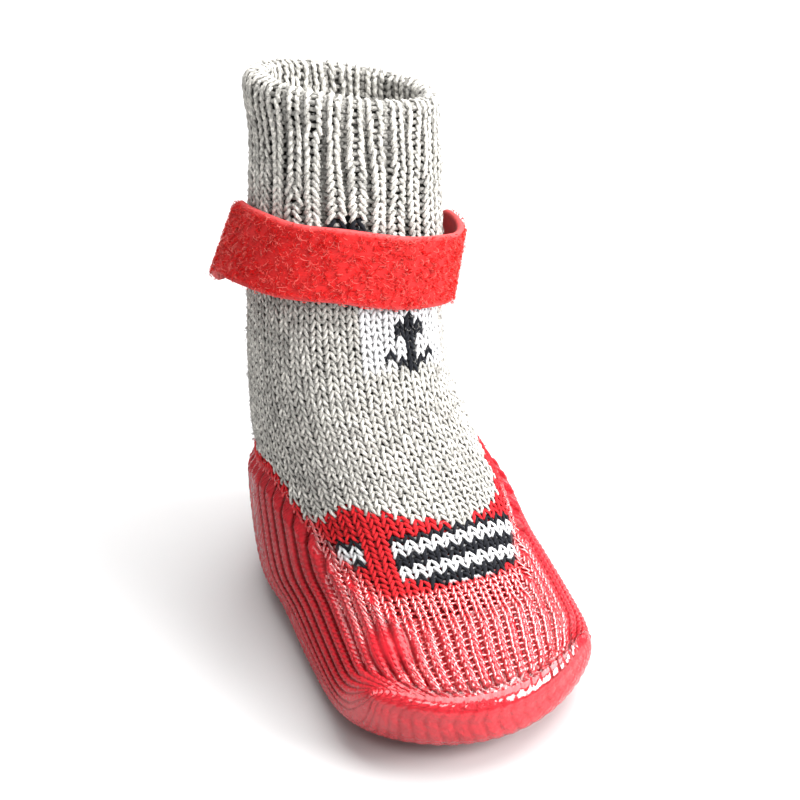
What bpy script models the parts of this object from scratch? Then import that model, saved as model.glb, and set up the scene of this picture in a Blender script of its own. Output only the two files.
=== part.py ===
"""Pet sock: a knitted sock dipped in rubber, with a loose hook-and-loop strap.

The sock stands empty on its dipped sole, its toe toward -Y and its leg leaning
back toward +Y. The knitted wall is one hollow loft through oval sections that
run from the collar, round the heel and along the foot to the seam across the
toe. The rubber is a thin cup round the foot of that same loft, and the strap is
a flat tape that hangs round the leg, its hook end laid over the outside.

Lengths are in millimetres in the tables and in metres in the meshes.
"""

import math
from collections import namedtuple

import bmesh
import bpy
from mathutils import Vector

MM = 0.001

# Driving dimensions (mm)
KNIT_WALL = 2.0
CUFF_WALL = 3.4
CUFF_END = 1.15
RUBBER_GAP = 0.3
RUBBER_WALL = 1.0
SEAM_BRIDGE = 0.45
SOLE_LEVEL = RUBBER_GAP + RUBBER_WALL
TOE_ROUND = 0.9
RING_POINTS = 40
LEG_RINGS = 17
FOOT_RINGS = 22

# One section of the loft a row. A section is an oval whose top (front of the
# leg) and low (heel and sole) points lie in the sock's middle plane, at the
# given y and z. The other columns are the half width, where the widest line
# lies between top and low, how square each half is, the sideways shift of the
# section, how far its sides bow back and up, and how far its right side leads.
Row = namedtuple("Row", "name top_y top_z low_y low_z half side n_top n_low "
                        "shift bow_y bow_z turn tip")
SECTIONS = (
    Row("rim", 19.0, 110.0, 52.0, 103.8, 18.8, 0.50, 2.2, 2.2, 2.6, 0, 0, 0, -5.0),
    Row("cuff", 16.0, 99.0, 48.5, 90.8, 19.1, 0.50, 2.2, 2.2, 1.2, 0, 0, 0, -3.4),
    Row("over_strap", 11.0, 84.0, 45.5, 76.0, 19.3, 0.50, 2.2, 2.2, -1.1, 0, 0, 0, -2.5),
    Row("under_strap", 6.0, 69.0, 43.0, 61.0, 19.4, 0.50, 2.2, 2.2, -3.4, 0, 0, 0, -1.5),
    Row("ankle", 0.0, 55.5, 42.5, 45.5, 20.0, 0.50, 2.2, 2.2, -4.2, 0, 0, 0, -0.5),
    Row("instep", -7.7, 44.0, 43.6, 29.5, 21.9, 0.52, 2.2, 2.2, -2.6, 0, 0, 0, 0),
    Row("heel", -15.0, 36.7, 43.4, 13.0, 23.9, 0.56, 2.2, 2.4, -0.6, 0, 0, 0, 0),
    Row("heel_foot", -21.4, 32.0, 33.5, 0.5, 25.0, 0.60, 2.2, 2.7, 0.0, 0, 0, 0, 0),
    Row("waist", -27.3, 28.4, 15.0, 2.2, 25.2, 0.62, 2.2, 3.0, 0.0, 0, 0, 0, 0),
    Row("ball", -33.2, 25.4, -5.0, 0.5, 25.7, 0.62, 2.2, 3.2, 0.0, 1.0, 0, 0, 0),
    Row("toe", -38.2, 22.9, -26.0, 0.5, 25.7, 0.62, 2.2, 3.0, -0.5, 3.0, 0.6, 0, 0),
    Row("nose", -42.5, 20.4, -42.0, 3.0, 24.7, 0.60, 2.3, 2.6, -1.0, 7.0, 1.4, 0.5, -0.3),
    Row("front", -46.3, 17.6, -49.6, 8.0, 23.2, 0.50, 2.4, 2.8, -1.0, 9.5, 2.0, 1.0, -0.5),
    Row("seam", -48.6, 15.7, -50.1, 13.0, 21.6, 0.50, 2.2, 2.5, -1.0, 10.0, 2.4, 1.0, -0.7),
)
LAST = len(SECTIONS) - 1

# Where the rubber begins, in sections from the rim: a row for each place round
# the sock, at an angle counted from the left side over the top.
DipEdge = namedtuple("DipEdge", "name angle section")
DIP_EDGE = (
    DipEdge("left side", 0.0, 5.60),
    DipEdge("left, low on the foot", 28.0, 6.15),
    DipEdge("left of the toe top", 48.0, 7.40),
    DipEdge("left corner", 62.0, 8.70),
    DipEdge("toe top", 90.0, 9.05),
    DipEdge("right corner", 118.0, 8.70),
    DipEdge("right of the toe top", 132.0, 7.40),
    DipEdge("right, low on the foot", 152.0, 6.15),
    DipEdge("right side", 180.0, 5.60),
    DipEdge("right of the heel", 225.0, 5.30),
    DipEdge("back of the heel", 270.0, 5.20),
    DipEdge("left of the heel", 315.0, 5.30),
    DipEdge("left side again", 360.0, 5.60),
)

# Strap: a flat tape hung round the leg (mm)
STRAP_WIDTH = 15.0
STRAP_THICK = 1.8
STRAP_CENTRE = (-1.7, 29.6, 75.75)
STRAP_HALF = (22.8, 22.6)
STRAP_SQUARE = 2.27
STRAP_SLOPE = (-0.295, -0.221)
STRAP_LEAN = 0.19    # how far the upper edge leans in at the right side
STRAP_SAG = 6.4      # how much lower the back of the loop hangs
STRAP_POINTS = 64
TAB_THICK = 1.5
TAB_GAP = 0.35
TAB_START = 10.0
TAB_END = 92.0
TAB_ROUND = 15.0

Finish = namedtuple("Finish", "colour roughness metallic")
FINISHES = {
    "grey_knit": Finish((0.56, 0.54, 0.50, 1.0), 0.95, 0.0),
    "red_rubber": Finish((0.70, 0.025, 0.035, 1.0), 0.28, 0.0),
    "red_pile": Finish((0.80, 0.03, 0.035, 1.0), 0.95, 0.0),
    "red_hook": Finish((0.72, 0.03, 0.04, 1.0), 0.7, 0.0),
}


def spline(values, place):
    """A smooth curve through evenly spaced values (Catmull-Rom)."""
    index = min(max(int(math.floor(place)), 0), len(values) - 2)
    t = place - index
    b, c = values[index], values[index + 1]
    a = values[index - 1] if index > 0 else 2 * b - c
    d = values[index + 2] if index + 2 < len(values) else 2 * c - b
    return 0.5 * (2 * b + (c - a) * t + (2 * a - 5 * b + 4 * c - d) * t ** 2
                  + (3 * b - a - 3 * c + d) * t ** 3)


COLUMNS = {name: [getattr(row, name) for row in SECTIONS]
           for name in Row._fields[1:]}


def column(name, place):
    return spline(COLUMNS[name], place)


def rail(kind, place, inset):
    """The (y, z) of the top or low rail, moved inward by inset."""
    step = 0.02
    a, b = max(place - step, 0.0), min(place + step, LAST)
    dy = column(kind + "_y", b) - column(kind + "_y", a)
    dz = column(kind + "_z", b) - column(kind + "_z", a)
    size = math.hypot(dy, dz)
    sign = 1.0 if kind == "top" else -1.0
    return (column(kind + "_y", place) - sign * inset * dz / size,
            column(kind + "_z", place) + sign * inset * dy / size)


def half_ring(square, count):
    """Evenly spaced (across, out) points of a unit half oval, left to right."""
    fine = []
    for i in range(241):
        a = math.pi * i / 240
        c, s = math.cos(a), math.sin(a)
        fine.append((math.copysign(abs(c) ** (2 / square), c),
                     abs(s) ** (2 / square)))
    length = [0.0]
    for p, q in zip(fine, fine[1:]):
        length.append(length[-1] + math.hypot(q[0] - p[0], q[1] - p[1]))
    points, j = [], 0
    for k in range(count + 1):
        goal = length[-1] * k / count
        while j < len(fine) - 2 and length[j + 1] < goal:
            j += 1
        t = (goal - length[j]) / (length[j + 1] - length[j])
        points.append((fine[j][0] + t * (fine[j + 1][0] - fine[j][0]),
                       fine[j][1] + t * (fine[j + 1][1] - fine[j][1])))
    return points


def place_point(place, inset, across, out, upper, close=0.0):
    """A point of the loft.

    place counts sections from the rim, across runs from -1 to 1 over the
    width, and out from 0 on the widest line to 1 on the rail. close rounds the
    end over the toe seam, from 0 to 1.
    """
    top, low = rail("top", place, inset), rail("low", place, inset)
    share = column("side", place)
    widest = [t + share * (b - t) for t, b in zip(top, low)]
    edge = top if upper else low
    y, z = [w + (e - w) * out for w, e in zip(widest, edge)]
    if close:
        angle = close * math.pi / 2
        middle = [(t + b) / 2 for t, b in zip(top, low)]
        push = (TOE_ROUND + max(-inset, 0.0)) * math.sin(angle) * (1 - across ** 4)
        chord = math.dist(top, low)
        y = middle[0] + (y - middle[0]) * math.cos(angle) - push * (top[1] - low[1]) / chord
        z = middle[1] + (z - middle[1]) * math.cos(angle) + push * (top[0] - low[0]) / chord
    half = column("half", place) - inset
    x = column("shift", place) + half * across
    bow = column("bow_y", place)
    y += (bow + inset * 2 * bow / half) * across ** 2 + column("turn", place) * across
    z += column("bow_z", place) * across ** 2 + column("tip", place) * across
    return Vector((x, y, max(z, SOLE_LEVEL + inset)))


def ring(place, inset, close=0.0):
    """The points round one section.

    place may be a function of the angle, and inset a function of the place.
    """
    half = RING_POINTS // 2
    points = []
    for k in range(RING_POINTS):
        here = place(360.0 * k / RING_POINTS) if callable(place) else place
        depth = inset(here) if callable(inset) else inset
        upper = k <= half
        square = column("n_top" if upper else "n_low", here)
        across, out = half_ring(square, half)[k if upper else RING_POINTS - k]
        points.append(place_point(here, depth, across, out, upper, close))
    return points


def dip_edge(angle):
    """Where the rubber begins at an angle round the sock, in sections."""
    slopes = [0.0] * len(DIP_EDGE)
    for i in range(1, len(DIP_EDGE) - 1):
        before, after = DIP_EDGE[i - 1], DIP_EDGE[i + 1]
        slopes[i] = (after.section - before.section) / (after.angle - before.angle)
    for i in range(len(DIP_EDGE) - 1):
        a, b = DIP_EDGE[i], DIP_EDGE[i + 1]
        if angle <= b.angle:
            span = b.angle - a.angle
            t = (angle - a.angle) / span
            return ((2 * t ** 3 - 3 * t ** 2 + 1) * a.section
                    + (t ** 3 - 2 * t ** 2 + t) * span * slopes[i]
                    + (3 * t ** 2 - 2 * t ** 3) * b.section
                    + (t ** 3 - t ** 2) * span * slopes[i + 1])
    return DIP_EDGE[-1].section


def dip_stations(start, count):
    """Places along the dipped foot, from start of the rubber to the toe seam."""
    for i in range(count):
        t = i / (count - 1)
        t = t * (1.0 + 0.25 * (1.0 - t))
        yield lambda angle, t=t: start(angle) + (LAST - start(angle)) * t


def foot_rings(inset):
    """Rings over the dipped foot, closed round over the toe seam."""
    rings = [ring(place, inset) for place in dip_stations(dip_edge, FOOT_RINGS)]
    return rings + [ring(LAST, inset, close) for close in (0.4, 0.75)]


def leg_rings(inset):
    """Rings over the undipped knit, from the rim to the edge of the rubber."""
    return [ring(lambda angle, t=i / LEG_RINGS: t * dip_edge(angle), inset)
            for i in range(LEG_RINGS)]


def lining_rings(start, end, count, inset):
    """Plain rings from start to end, closed round short of the toe seam."""
    step = (end - start) / (count - 1)
    rings = [ring(start + step * i, inset) for i in range(count)]
    return rings + [ring(end, inset, close) for close in (0.4, 0.75)]


def fold_rings(outer, inner, rise, direction, steps):
    """Rings that round an edge over from the outer ring to the inner one."""
    rings = []
    for i in range(1, steps):
        a = math.pi * i / steps
        share, lift = (1 - math.cos(a)) / 2, math.sin(a) * rise
        rings.append([p.lerp(q, share) + d * lift
                      for p, q, d in zip(outer, inner, direction)])
    return rings


def skin(faces, lower, upper, count, flip):
    for k in range(count):
        n = (k + 1) % count
        face = (lower + k, upper + k, upper + n, lower + n)
        faces.append(face[::-1] if flip else face)


def cap(faces, base, count, flip):
    """Close the flat last ring by joining its upper and lower halves."""
    for k in range(count // 2):
        loop = [base + k, base + (count - k) % count,
                base + count - k - 1, base + k + 1]
        face = tuple(dict.fromkeys(loop))
        faces.append(face[::-1] if flip else face)


def shell_mesh(name, outer, inner, fold):
    """One closed body: the outer skin, the inner skin and the folded edge."""
    rows = outer[::-1] + fold + inner
    verts = [p * MM for row in rows for p in row]
    faces = []
    for i in range(len(rows) - 1):
        skin(faces, i * RING_POINTS, (i + 1) * RING_POINTS, RING_POINTS, True)
    cap(faces, 0, RING_POINTS, False)
    cap(faces, (len(rows) - 1) * RING_POINTS, RING_POINTS, True)
    mesh = bpy.data.meshes.new(name)
    mesh.from_pydata(verts, [], faces)
    return finish_mesh(mesh)


def finish_mesh(mesh):
    work = bmesh.new()
    work.from_mesh(mesh)
    bmesh.ops.recalc_face_normals(work, faces=work.faces)
    work.to_mesh(mesh)
    work.free()
    mesh.shade_smooth()
    mesh.set_sharp_from_angle(angle=math.radians(50))
    return mesh


def away(rings):
    """Unit directions from the second ring of a sheet out past the first."""
    return [(p - q).normalized() for p, q in zip(rings[0], rings[1])]


def material(name):
    made = bpy.data.materials.new(name)
    made.use_nodes = True
    shader = made.node_tree.nodes["Principled BSDF"]
    finish = FINISHES[name]
    shader.inputs["Base Color"].default_value = finish.colour
    shader.inputs["Roughness"].default_value = finish.roughness
    shader.inputs["Metallic"].default_value = finish.metallic
    made.diffuse_color = finish.colour
    return made


def add_object(name, mesh, finish, group):
    made = bpy.data.objects.new(name, mesh)
    made.data.materials.append(material(finish))
    group.objects.link(made)
    return made


def knit_upper():
    """The whole knitted sock: one hollow wall with a turned-in cuff."""
    outer = leg_rings(0.0) + foot_rings(0.0)
    inner = [ring(p, CUFF_WALL) for p in (0.0, 0.4, 0.8, CUFF_END)]
    inner += lining_rings(CUFF_END + 0.12, LAST - 1.35, 26, KNIT_WALL)
    fold = fold_rings(outer[0], inner[0], CUFF_WALL / 2, away(outer), 4)
    return shell_mesh("knit_upper", outer, inner, fold)


def rubber_lining(place):
    """How far outside the knit the rubber begins; it bridges the toe seam."""
    return -RUBBER_GAP - SEAM_BRIDGE * max(0.0, (place - LAST + 1.5) / 1.5)


def rubber_skin(place):
    return rubber_lining(place) - RUBBER_WALL


def rubber_sole():
    """The dipped rubber: a thin cup under and round the foot."""
    outer = foot_rings(rubber_skin)
    inner = foot_rings(rubber_lining)
    fold = fold_rings(outer[0], inner[0], RUBBER_WALL / 2, away(outer), 3)
    return shell_mesh("rubber_sole", outer, inner, fold)


def strap_point(angle, height, outset=0.0):
    """A point on the strap's loop, at an angle from the left side."""
    a = math.radians(angle)
    c, s = math.cos(a), math.sin(a)
    outset -= STRAP_LEAN * height * max(-c, 0.0) ** 2
    back = min(max(s, 0.0) / 0.55, 1.0)
    x = (STRAP_HALF[0] + outset) * math.copysign(abs(c) ** (2 / STRAP_SQUARE), c)
    y = (STRAP_HALF[1] + outset) * math.copysign(abs(s) ** (2 / STRAP_SQUARE), s)
    z = (STRAP_SLOPE[0] * x + STRAP_SLOPE[1] * y
         - STRAP_SAG * back * back * (3 - 2 * back))
    up = Vector((-STRAP_SLOPE[0], -STRAP_SLOPE[1], 1.0)).normalized()
    return (Vector(STRAP_CENTRE) + Vector((x, y, z)) + up * height) * MM


def strap_angles(first, last, count):
    """Angles that lie evenly along the loop from first to last."""
    fine = [first + (last - first) * i / 720 for i in range(721)]
    length = [0.0]
    for a, b in zip(fine, fine[1:]):
        length.append(length[-1] + (strap_point(b, 0) - strap_point(a, 0)).length)
    angles, j = [], 0
    for k in range(count):
        goal = length[-1] * k / (count - 1)
        while j < 719 and length[j + 1] < goal:
            j += 1
        t = (goal - length[j]) / (length[j + 1] - length[j])
        angles.append(fine[j] + t * (fine[j + 1] - fine[j]))
    return angles, length[-1] / MM


def tape(name, columns, closed, thickness, finish, group):
    """A flat tape of the given columns of points, thickened and softened."""
    rows = len(columns[0])
    verts = [p for col in columns for p in col]
    faces = []
    for i in range(len(columns) if closed else len(columns) - 1):
        n = (i + 1) % len(columns)
        for j in range(rows - 1):
            faces.append((i * rows + j, n * rows + j,
                          n * rows + j + 1, i * rows + j + 1))
    mesh = bpy.data.meshes.new(name)
    mesh.from_pydata(verts, [], faces)
    made = add_object(name, mesh, finish, group)
    solid = made.modifiers.new("Thickness", "SOLIDIFY")
    solid.thickness = thickness * MM
    solid.offset = 0.0
    solid.use_even_offset = True
    bevel = made.modifiers.new("Soft edge", "BEVEL")
    bevel.width = 0.3 * thickness * MM
    bevel.segments = 1
    bevel.limit_method = "ANGLE"
    bevel.angle_limit = math.radians(50)
    mesh.shade_smooth()
    return made


def strap_band(group):
    """The tape that hangs loose round the leg."""
    angles, _ = strap_angles(0.0, 360.0, STRAP_POINTS + 1)
    heights = [STRAP_WIDTH * (j / 2 - 0.5) for j in range(3)]
    columns = [[strap_point(a, h) for h in heights] for a in angles[:-1]]
    return tape("strap_band", columns, True, STRAP_THICK, "red_pile", group)


def strap_tab(group):
    """The hook end of the strap, laid over its outside with a round tip."""
    outset = (STRAP_THICK + TAB_THICK) / 2 + TAB_GAP
    angles, length = strap_angles(TAB_START, TAB_END, 22)
    columns = []
    for k, a in enumerate(angles):
        along = length * k / 21
        reach = min(along / (TAB_ROUND / 2), 1.0)
        half = STRAP_WIDTH / 2 * math.sqrt(max(1 - (1 - reach) ** 2, 0.12))
        columns.append([strap_point(a, half * (j / 2 - 1), outset)
                        for j in range(5)])
    return tape("strap_tab", columns, False, TAB_THICK, "red_hook", group)


def main():
    for old in list(bpy.data.objects):
        bpy.data.objects.remove(old, do_unlink=True)
    group = bpy.data.collections.new("pet_sock")
    bpy.context.scene.collection.children.link(group)
    base = bpy.data.objects.new("pet_sock_frame", None)
    group.objects.link(base)
    pieces = [
        add_object("knit_upper", knit_upper(), "grey_knit", group),
        add_object("rubber_sole", rubber_sole(), "red_rubber", group),
        strap_band(group),
        strap_tab(group),
    ]
    for piece in pieces:
        piece.parent = base


main()
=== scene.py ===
"""Dressed model of a pet sock.

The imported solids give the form. This script lays the looks over them: every
course of yarn knitted loop by loop round the leg and the instep, the doubled
ribbed cuff that turns in over the rim, the sailor stripes and the anchor in
their own dyes, the glossy dipped rubber with the wales showing through it, the
loop-pile strap, its hook end and the sewing.

Sizes are millimetres in the tables and dataclasses, and metres in the meshes.
A place counts sections of the form from the rim (0) to the toe seam (13). A
turn counts wales round the sock from the wearer's left side (0), over the top
(13), to the right side (26) and back along the heel and sole.
"""
import logging
import math
from dataclasses import dataclass, field
from enum import Enum
from typing import Callable, NamedTuple, Sequence

import bpy
import numpy as np
from mathutils import Matrix, Vector


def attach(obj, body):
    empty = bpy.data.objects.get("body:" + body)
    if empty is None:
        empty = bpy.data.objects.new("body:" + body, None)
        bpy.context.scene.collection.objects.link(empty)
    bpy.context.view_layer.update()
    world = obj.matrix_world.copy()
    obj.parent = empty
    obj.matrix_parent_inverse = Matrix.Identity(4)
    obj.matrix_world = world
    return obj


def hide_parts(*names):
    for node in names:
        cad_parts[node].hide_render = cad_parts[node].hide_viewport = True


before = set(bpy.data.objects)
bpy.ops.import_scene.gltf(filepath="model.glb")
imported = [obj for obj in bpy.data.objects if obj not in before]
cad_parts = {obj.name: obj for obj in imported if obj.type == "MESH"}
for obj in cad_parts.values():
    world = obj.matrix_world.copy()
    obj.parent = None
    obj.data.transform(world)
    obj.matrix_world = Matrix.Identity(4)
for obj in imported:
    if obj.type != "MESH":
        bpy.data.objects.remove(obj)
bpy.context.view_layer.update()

Array = np.ndarray
Object = bpy.types.Object
Material = bpy.types.Material
Tree = bpy.types.NodeTree
Node = bpy.types.Node
Socket = bpy.types.NodeSocket
Pair = tuple[Array, Array]
Values = dict[str, Array]
Feeds = dict[str | int, object]
Given = bpy.types.NodeOutputs
Range = tuple[float, float]
Triple = tuple[float, float, float]
Rgba = tuple[float, float, float, float]

MM = 0.001
TAU = 2 * math.pi
WALES = 52
TOP = WALES / 4
LOG = logging.getLogger("pet_sock")


class Row(NamedTuple):
    """One section of the form: where its rails and its widest line lie."""

    name: str
    top_y: float
    top_z: float
    low_y: float
    low_z: float
    half: float
    side: float
    n_top: float
    n_low: float
    shift: float
    bow_y: float
    bow_z: float
    turn: float
    tip: float


SECTIONS = (
    Row("rim", 19.0, 110.0, 52.0, 103.8, 18.8, 0.50, 2.2, 2.2, 2.6, 0, 0, 0, -5.0),
    Row("cuff", 16.0, 99.0, 48.5, 90.8, 19.1, 0.50, 2.2, 2.2, 1.2, 0, 0, 0, -3.4),
    Row("over_strap", 11.0, 84.0, 45.5, 76.0, 19.3, 0.50, 2.2, 2.2, -1.1, 0, 0, 0, -2.5),
    Row("under_strap", 6.0, 69.0, 43.0, 61.0, 19.4, 0.50, 2.2, 2.2, -3.4, 0, 0, 0, -1.5),
    Row("ankle", 0.0, 55.5, 42.5, 45.5, 20.0, 0.50, 2.2, 2.2, -4.2, 0, 0, 0, -0.5),
    Row("instep", -7.7, 44.0, 43.6, 29.5, 21.9, 0.52, 2.2, 2.2, -2.6, 0, 0, 0, 0),
    Row("heel", -15.0, 36.7, 43.4, 13.0, 23.9, 0.56, 2.2, 2.4, -0.6, 0, 0, 0, 0),
    Row("heel_foot", -21.4, 32.0, 33.5, 0.5, 25.0, 0.60, 2.2, 2.7, 0.0, 0, 0, 0, 0),
    Row("waist", -27.3, 28.4, 15.0, 2.2, 25.2, 0.62, 2.2, 3.0, 0.0, 0, 0, 0, 0),
    Row("ball", -33.2, 25.4, -5.0, 0.5, 25.7, 0.62, 2.2, 3.2, 0.0, 1.0, 0, 0, 0),
    Row("toe", -38.2, 22.9, -26.0, 0.5, 25.7, 0.62, 2.2, 3.0, -0.5, 3.0, 0.6, 0, 0),
    Row("nose", -42.5, 20.4, -42.0, 3.0, 24.7, 0.60, 2.3, 2.6, -1.0, 7.0, 1.4, 0.5, -0.3),
    Row("front", -46.3, 17.6, -49.6, 8.0, 23.2, 0.50, 2.4, 2.8, -1.0, 9.5, 2.0, 1.0, -0.5),
    Row("seam", -48.6, 15.7, -50.1, 13.0, 21.6, 0.50, 2.2, 2.5, -1.0, 10.0, 2.4, 1.0, -0.7),
)
LAST = len(SECTIONS) - 1


class Spot(NamedTuple):
    """A soft oval of the form: a trough (depth below 0), a ridge or a smear."""

    name: str
    place: float
    turn: float
    depth: float
    along: float
    around: float
    slant: float = 0.0

    def share(self, place: Array, turn: Array) -> Array:
        """How much of it a point has, from 1 in its middle down to 0.

        Args:
            place: how far down the sock each point lies.
            turn: how far round it.

        Returns:
            The share, one for each point.
        """
        gap = turn_gap(turn, self.turn)
        along = (place - self.place - self.slant * gap) / self.along
        return np.exp(-along ** 2 - (gap / self.around) ** 2)


BENDS = (
    Spot("ankle crease", 4.75, 15.0, -0.55, 0.30, 6.0, 0.03),
    Spot("ankle roll over it", 4.15, 14.0, 0.35, 0.35, 6.5, 0.03),
    Spot("hollow under the strap", 2.45, 20.0, -0.45, 0.45, 5.0),
    Spot("right side fold", 5.1, 26.5, -0.60, 0.22, 4.0, -0.06),
    Spot("left side fold", 5.0, 51.0, -0.60, 0.24, 4.0, 0.06),
    Spot("heel dimple", 5.9, 39.0, -0.40, 0.45, 3.5),
    Spot("toe pucker, right", 9.6, 18.7, 0.55, 0.55, 1.7),
    Spot("hollow before the pucker", 10.9, 17.8, -0.50, 0.40, 2.2, -0.1),
    Spot("toe pucker, left", 10.0, 6.6, 0.30, 0.60, 2.0),
    Spot("cuff lean, front", 0.55, 13.0, -0.30, 0.40, 5.0),
    Spot("rim flare, right", 0.12, 26.0, 1.30, 0.38, 5.5),
    Spot("rim flare, back", 0.12, 39.0, 0.60, 0.38, 6.0),
)
SMEAR = Spot("smear of rubber on the toe", 9.7, 18.6, 1.0, 0.75, 1.5)
SMEARED_LOOPS = Spot("loops under the smear", 9.9, 18.7, 1.0, 1.05, 1.5)


class Mark(NamedTuple):
    """A value at one turn, for a line drawn round the sock."""

    turn: float
    place: float


# Where the rubber begins, where the red yarn begins, and the toe seam's line.
DIP_EDGE = (
    Mark(0.0, 5.60), Mark(4.04, 6.15), Mark(6.93, 7.40), Mark(8.96, 8.70),
    Mark(13.0, 9.05), Mark(17.04, 8.70), Mark(19.07, 7.40), Mark(21.96, 5.95),
    Mark(24.0, 5.42), Mark(26.0, 5.25), Mark(32.5, 5.15), Mark(39.0, 5.15),
    Mark(45.5, 5.30), Mark(52.0, 5.60),
)
RED_EDGE = (
    Mark(0.0, 5.05), Mark(3.0, 5.20), Mark(5.0, 5.45), Mark(6.0, 5.98),
    Mark(7.5, 6.18), Mark(9.3, 6.27), Mark(11.5, 6.30), Mark(12.6, 6.14),
    Mark(14.0, 6.00), Mark(15.5, 5.86), Mark(17.0, 5.74), Mark(18.3, 5.64),
    Mark(19.6, 5.72), Mark(20.7, 5.86), Mark(21.6, 5.86), Mark(22.4, 5.62),
    Mark(23.4, 5.38), Mark(25.0, 5.12), Mark(29.0, 5.00), Mark(34.0, 4.95),
    Mark(39.0, 4.90), Mark(45.5, 4.95), Mark(52.0, 5.05),
)
SEAM_LINE = (
    Mark(0.4, 10.7), Mark(1.6, 11.4), Mark(3.0, 12.2), Mark(4.6, 12.8),
    Mark(7.0, 12.95), Mark(9.0, 12.82), Mark(12.0, 12.52), Mark(15.0, 12.55),
    Mark(17.0, 12.35), Mark(18.2, 11.90), Mark(19.4, 11.20), Mark(20.3, 10.45),
    Mark(21.4, 9.90),
)


class Height(NamedTuple):
    """How tall a course is knitted, from one place on."""

    place: float
    height: float


COURSE_HEIGHTS = (
    Height(0.0, 1.52), Height(5.4, 1.50), Height(6.2, 1.27), Height(8.2, 1.25),
    Height(9.2, 1.40), Height(13.0, 1.45),
)


def along_line(marks: Sequence[Mark], turn: Array) -> Array:
    """Read a drawn line.

    Args:
        marks: the line's points, in order of their turn.
        turn: where to read it.

    Returns:
        The place at each turn, on a smooth curve through the marks.
    """
    x = np.array([m.turn for m in marks])
    y = np.array([m.place for m in marks])
    slope = np.zeros(len(x))
    slope[1:-1] = (y[2:] - y[:-2]) / (x[2:] - x[:-2])
    turn = np.clip(turn, x[0], x[-1])
    i = np.clip(np.searchsorted(x, turn, side="right") - 1, 0, len(x) - 2)
    span = x[i + 1] - x[i]
    t = (turn - x[i]) / span
    return ((2 * t ** 3 - 3 * t ** 2 + 1) * y[i]
            + (t ** 3 - 2 * t ** 2 + t) * span * slope[i]
            + (3 * t ** 2 - 2 * t ** 3) * y[i + 1]
            + (t ** 3 - t ** 2) * span * slope[i + 1])


def smooth(low: float, high: float, value: Array) -> Array:
    """A soft step from 0 at low to 1 at high."""
    t = np.clip((value - low) / (high - low), 0.0, 1.0)
    return t * t * (3 - 2 * t)


def unit(vectors: Array) -> Array:
    """Vectors scaled to length 1."""
    size = np.linalg.norm(vectors, axis=-1, keepdims=True)
    return vectors / np.maximum(size, 1e-12)


def turn_gap(turn: Array, centre: float) -> Array:
    """How far a turn lies from a centre, the shorter way round."""
    return (turn - centre + WALES / 2) % WALES - WALES / 2


def running_length(points: Array, axis: int = 0) -> Array:
    """How far along its line each point lies.

    Args:
        points: an array of points, whose last axis holds their coordinates.
        axis: the axis that the lines run along.

    Returns:
        The distance from the line's start, one for each point.
    """
    steps = np.linalg.norm(np.diff(points, axis=axis), axis=-1)
    start = np.zeros_like(np.take(steps, [0], axis=axis))
    return np.concatenate((start, np.cumsum(steps, axis=axis)), axis=axis)


class Skin:
    """A fine net of points over one surface of the form."""

    def __init__(self, station: Array, points: Array) -> None:
        """Keep the net and work out its normals.

        Args:
            station: a growing coordinate, one value for each row.
            points: rows x columns x 3 points, whose columns go once round.
        """
        self.station = station
        self.points = points
        self.columns = points.shape[1]
        across = np.roll(points, -1, axis=1) - np.roll(points, 1, axis=1)
        down = np.gradient(points, axis=0)
        self.normals = unit(np.cross(across, down))

    def at(self, station: Array, turn: Array, lift: Array | float = 0.0) -> Pair:
        """Points and normals of the surface.

        Args:
            station: the row coordinate of each point.
            turn: the wale coordinate of each point.
            lift: how far out of the surface the points lie, in millimetres.

        Returns:
            The points and their unit normals.
        """
        rows = len(self.station)
        row = np.interp(station, self.station, np.arange(rows))
        i = np.minimum(row.astype(int), rows - 2)
        f = (row - i)[..., None]
        column = (turn % WALES) * self.columns / WALES
        j = column.astype(int) % self.columns
        k = (j + 1) % self.columns
        g = (column - np.floor(column))[..., None]

        def read(net: Array) -> Array:
            """Blend the four nearest values of a net."""
            return ((net[i, j] * (1 - g) + net[i, k] * g) * (1 - f)
                    + (net[i + 1, j] * (1 - g) + net[i + 1, k] * g) * f)

        normals = unit(read(self.normals))
        return read(self.points) + normals * np.asarray(lift)[..., None], normals


def fold_over(first: Array, last: Array, away: Array, width: float, angles: Array) -> list[Array]:
    """Rings that fold over an edge, from one face to the other.

    Args:
        first: the ring at angle 0.
        last: the ring at half a turn.
        away: unit vectors out of the edge.
        width: how wide the fold is.
        angles: the angle of each ring.

    Returns:
        The rings.
    """
    return [first + (last - first) * ((1 - math.cos(angle)) / 2)
            + away * math.sin(angle) * width / 2 for angle in angles]


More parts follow.
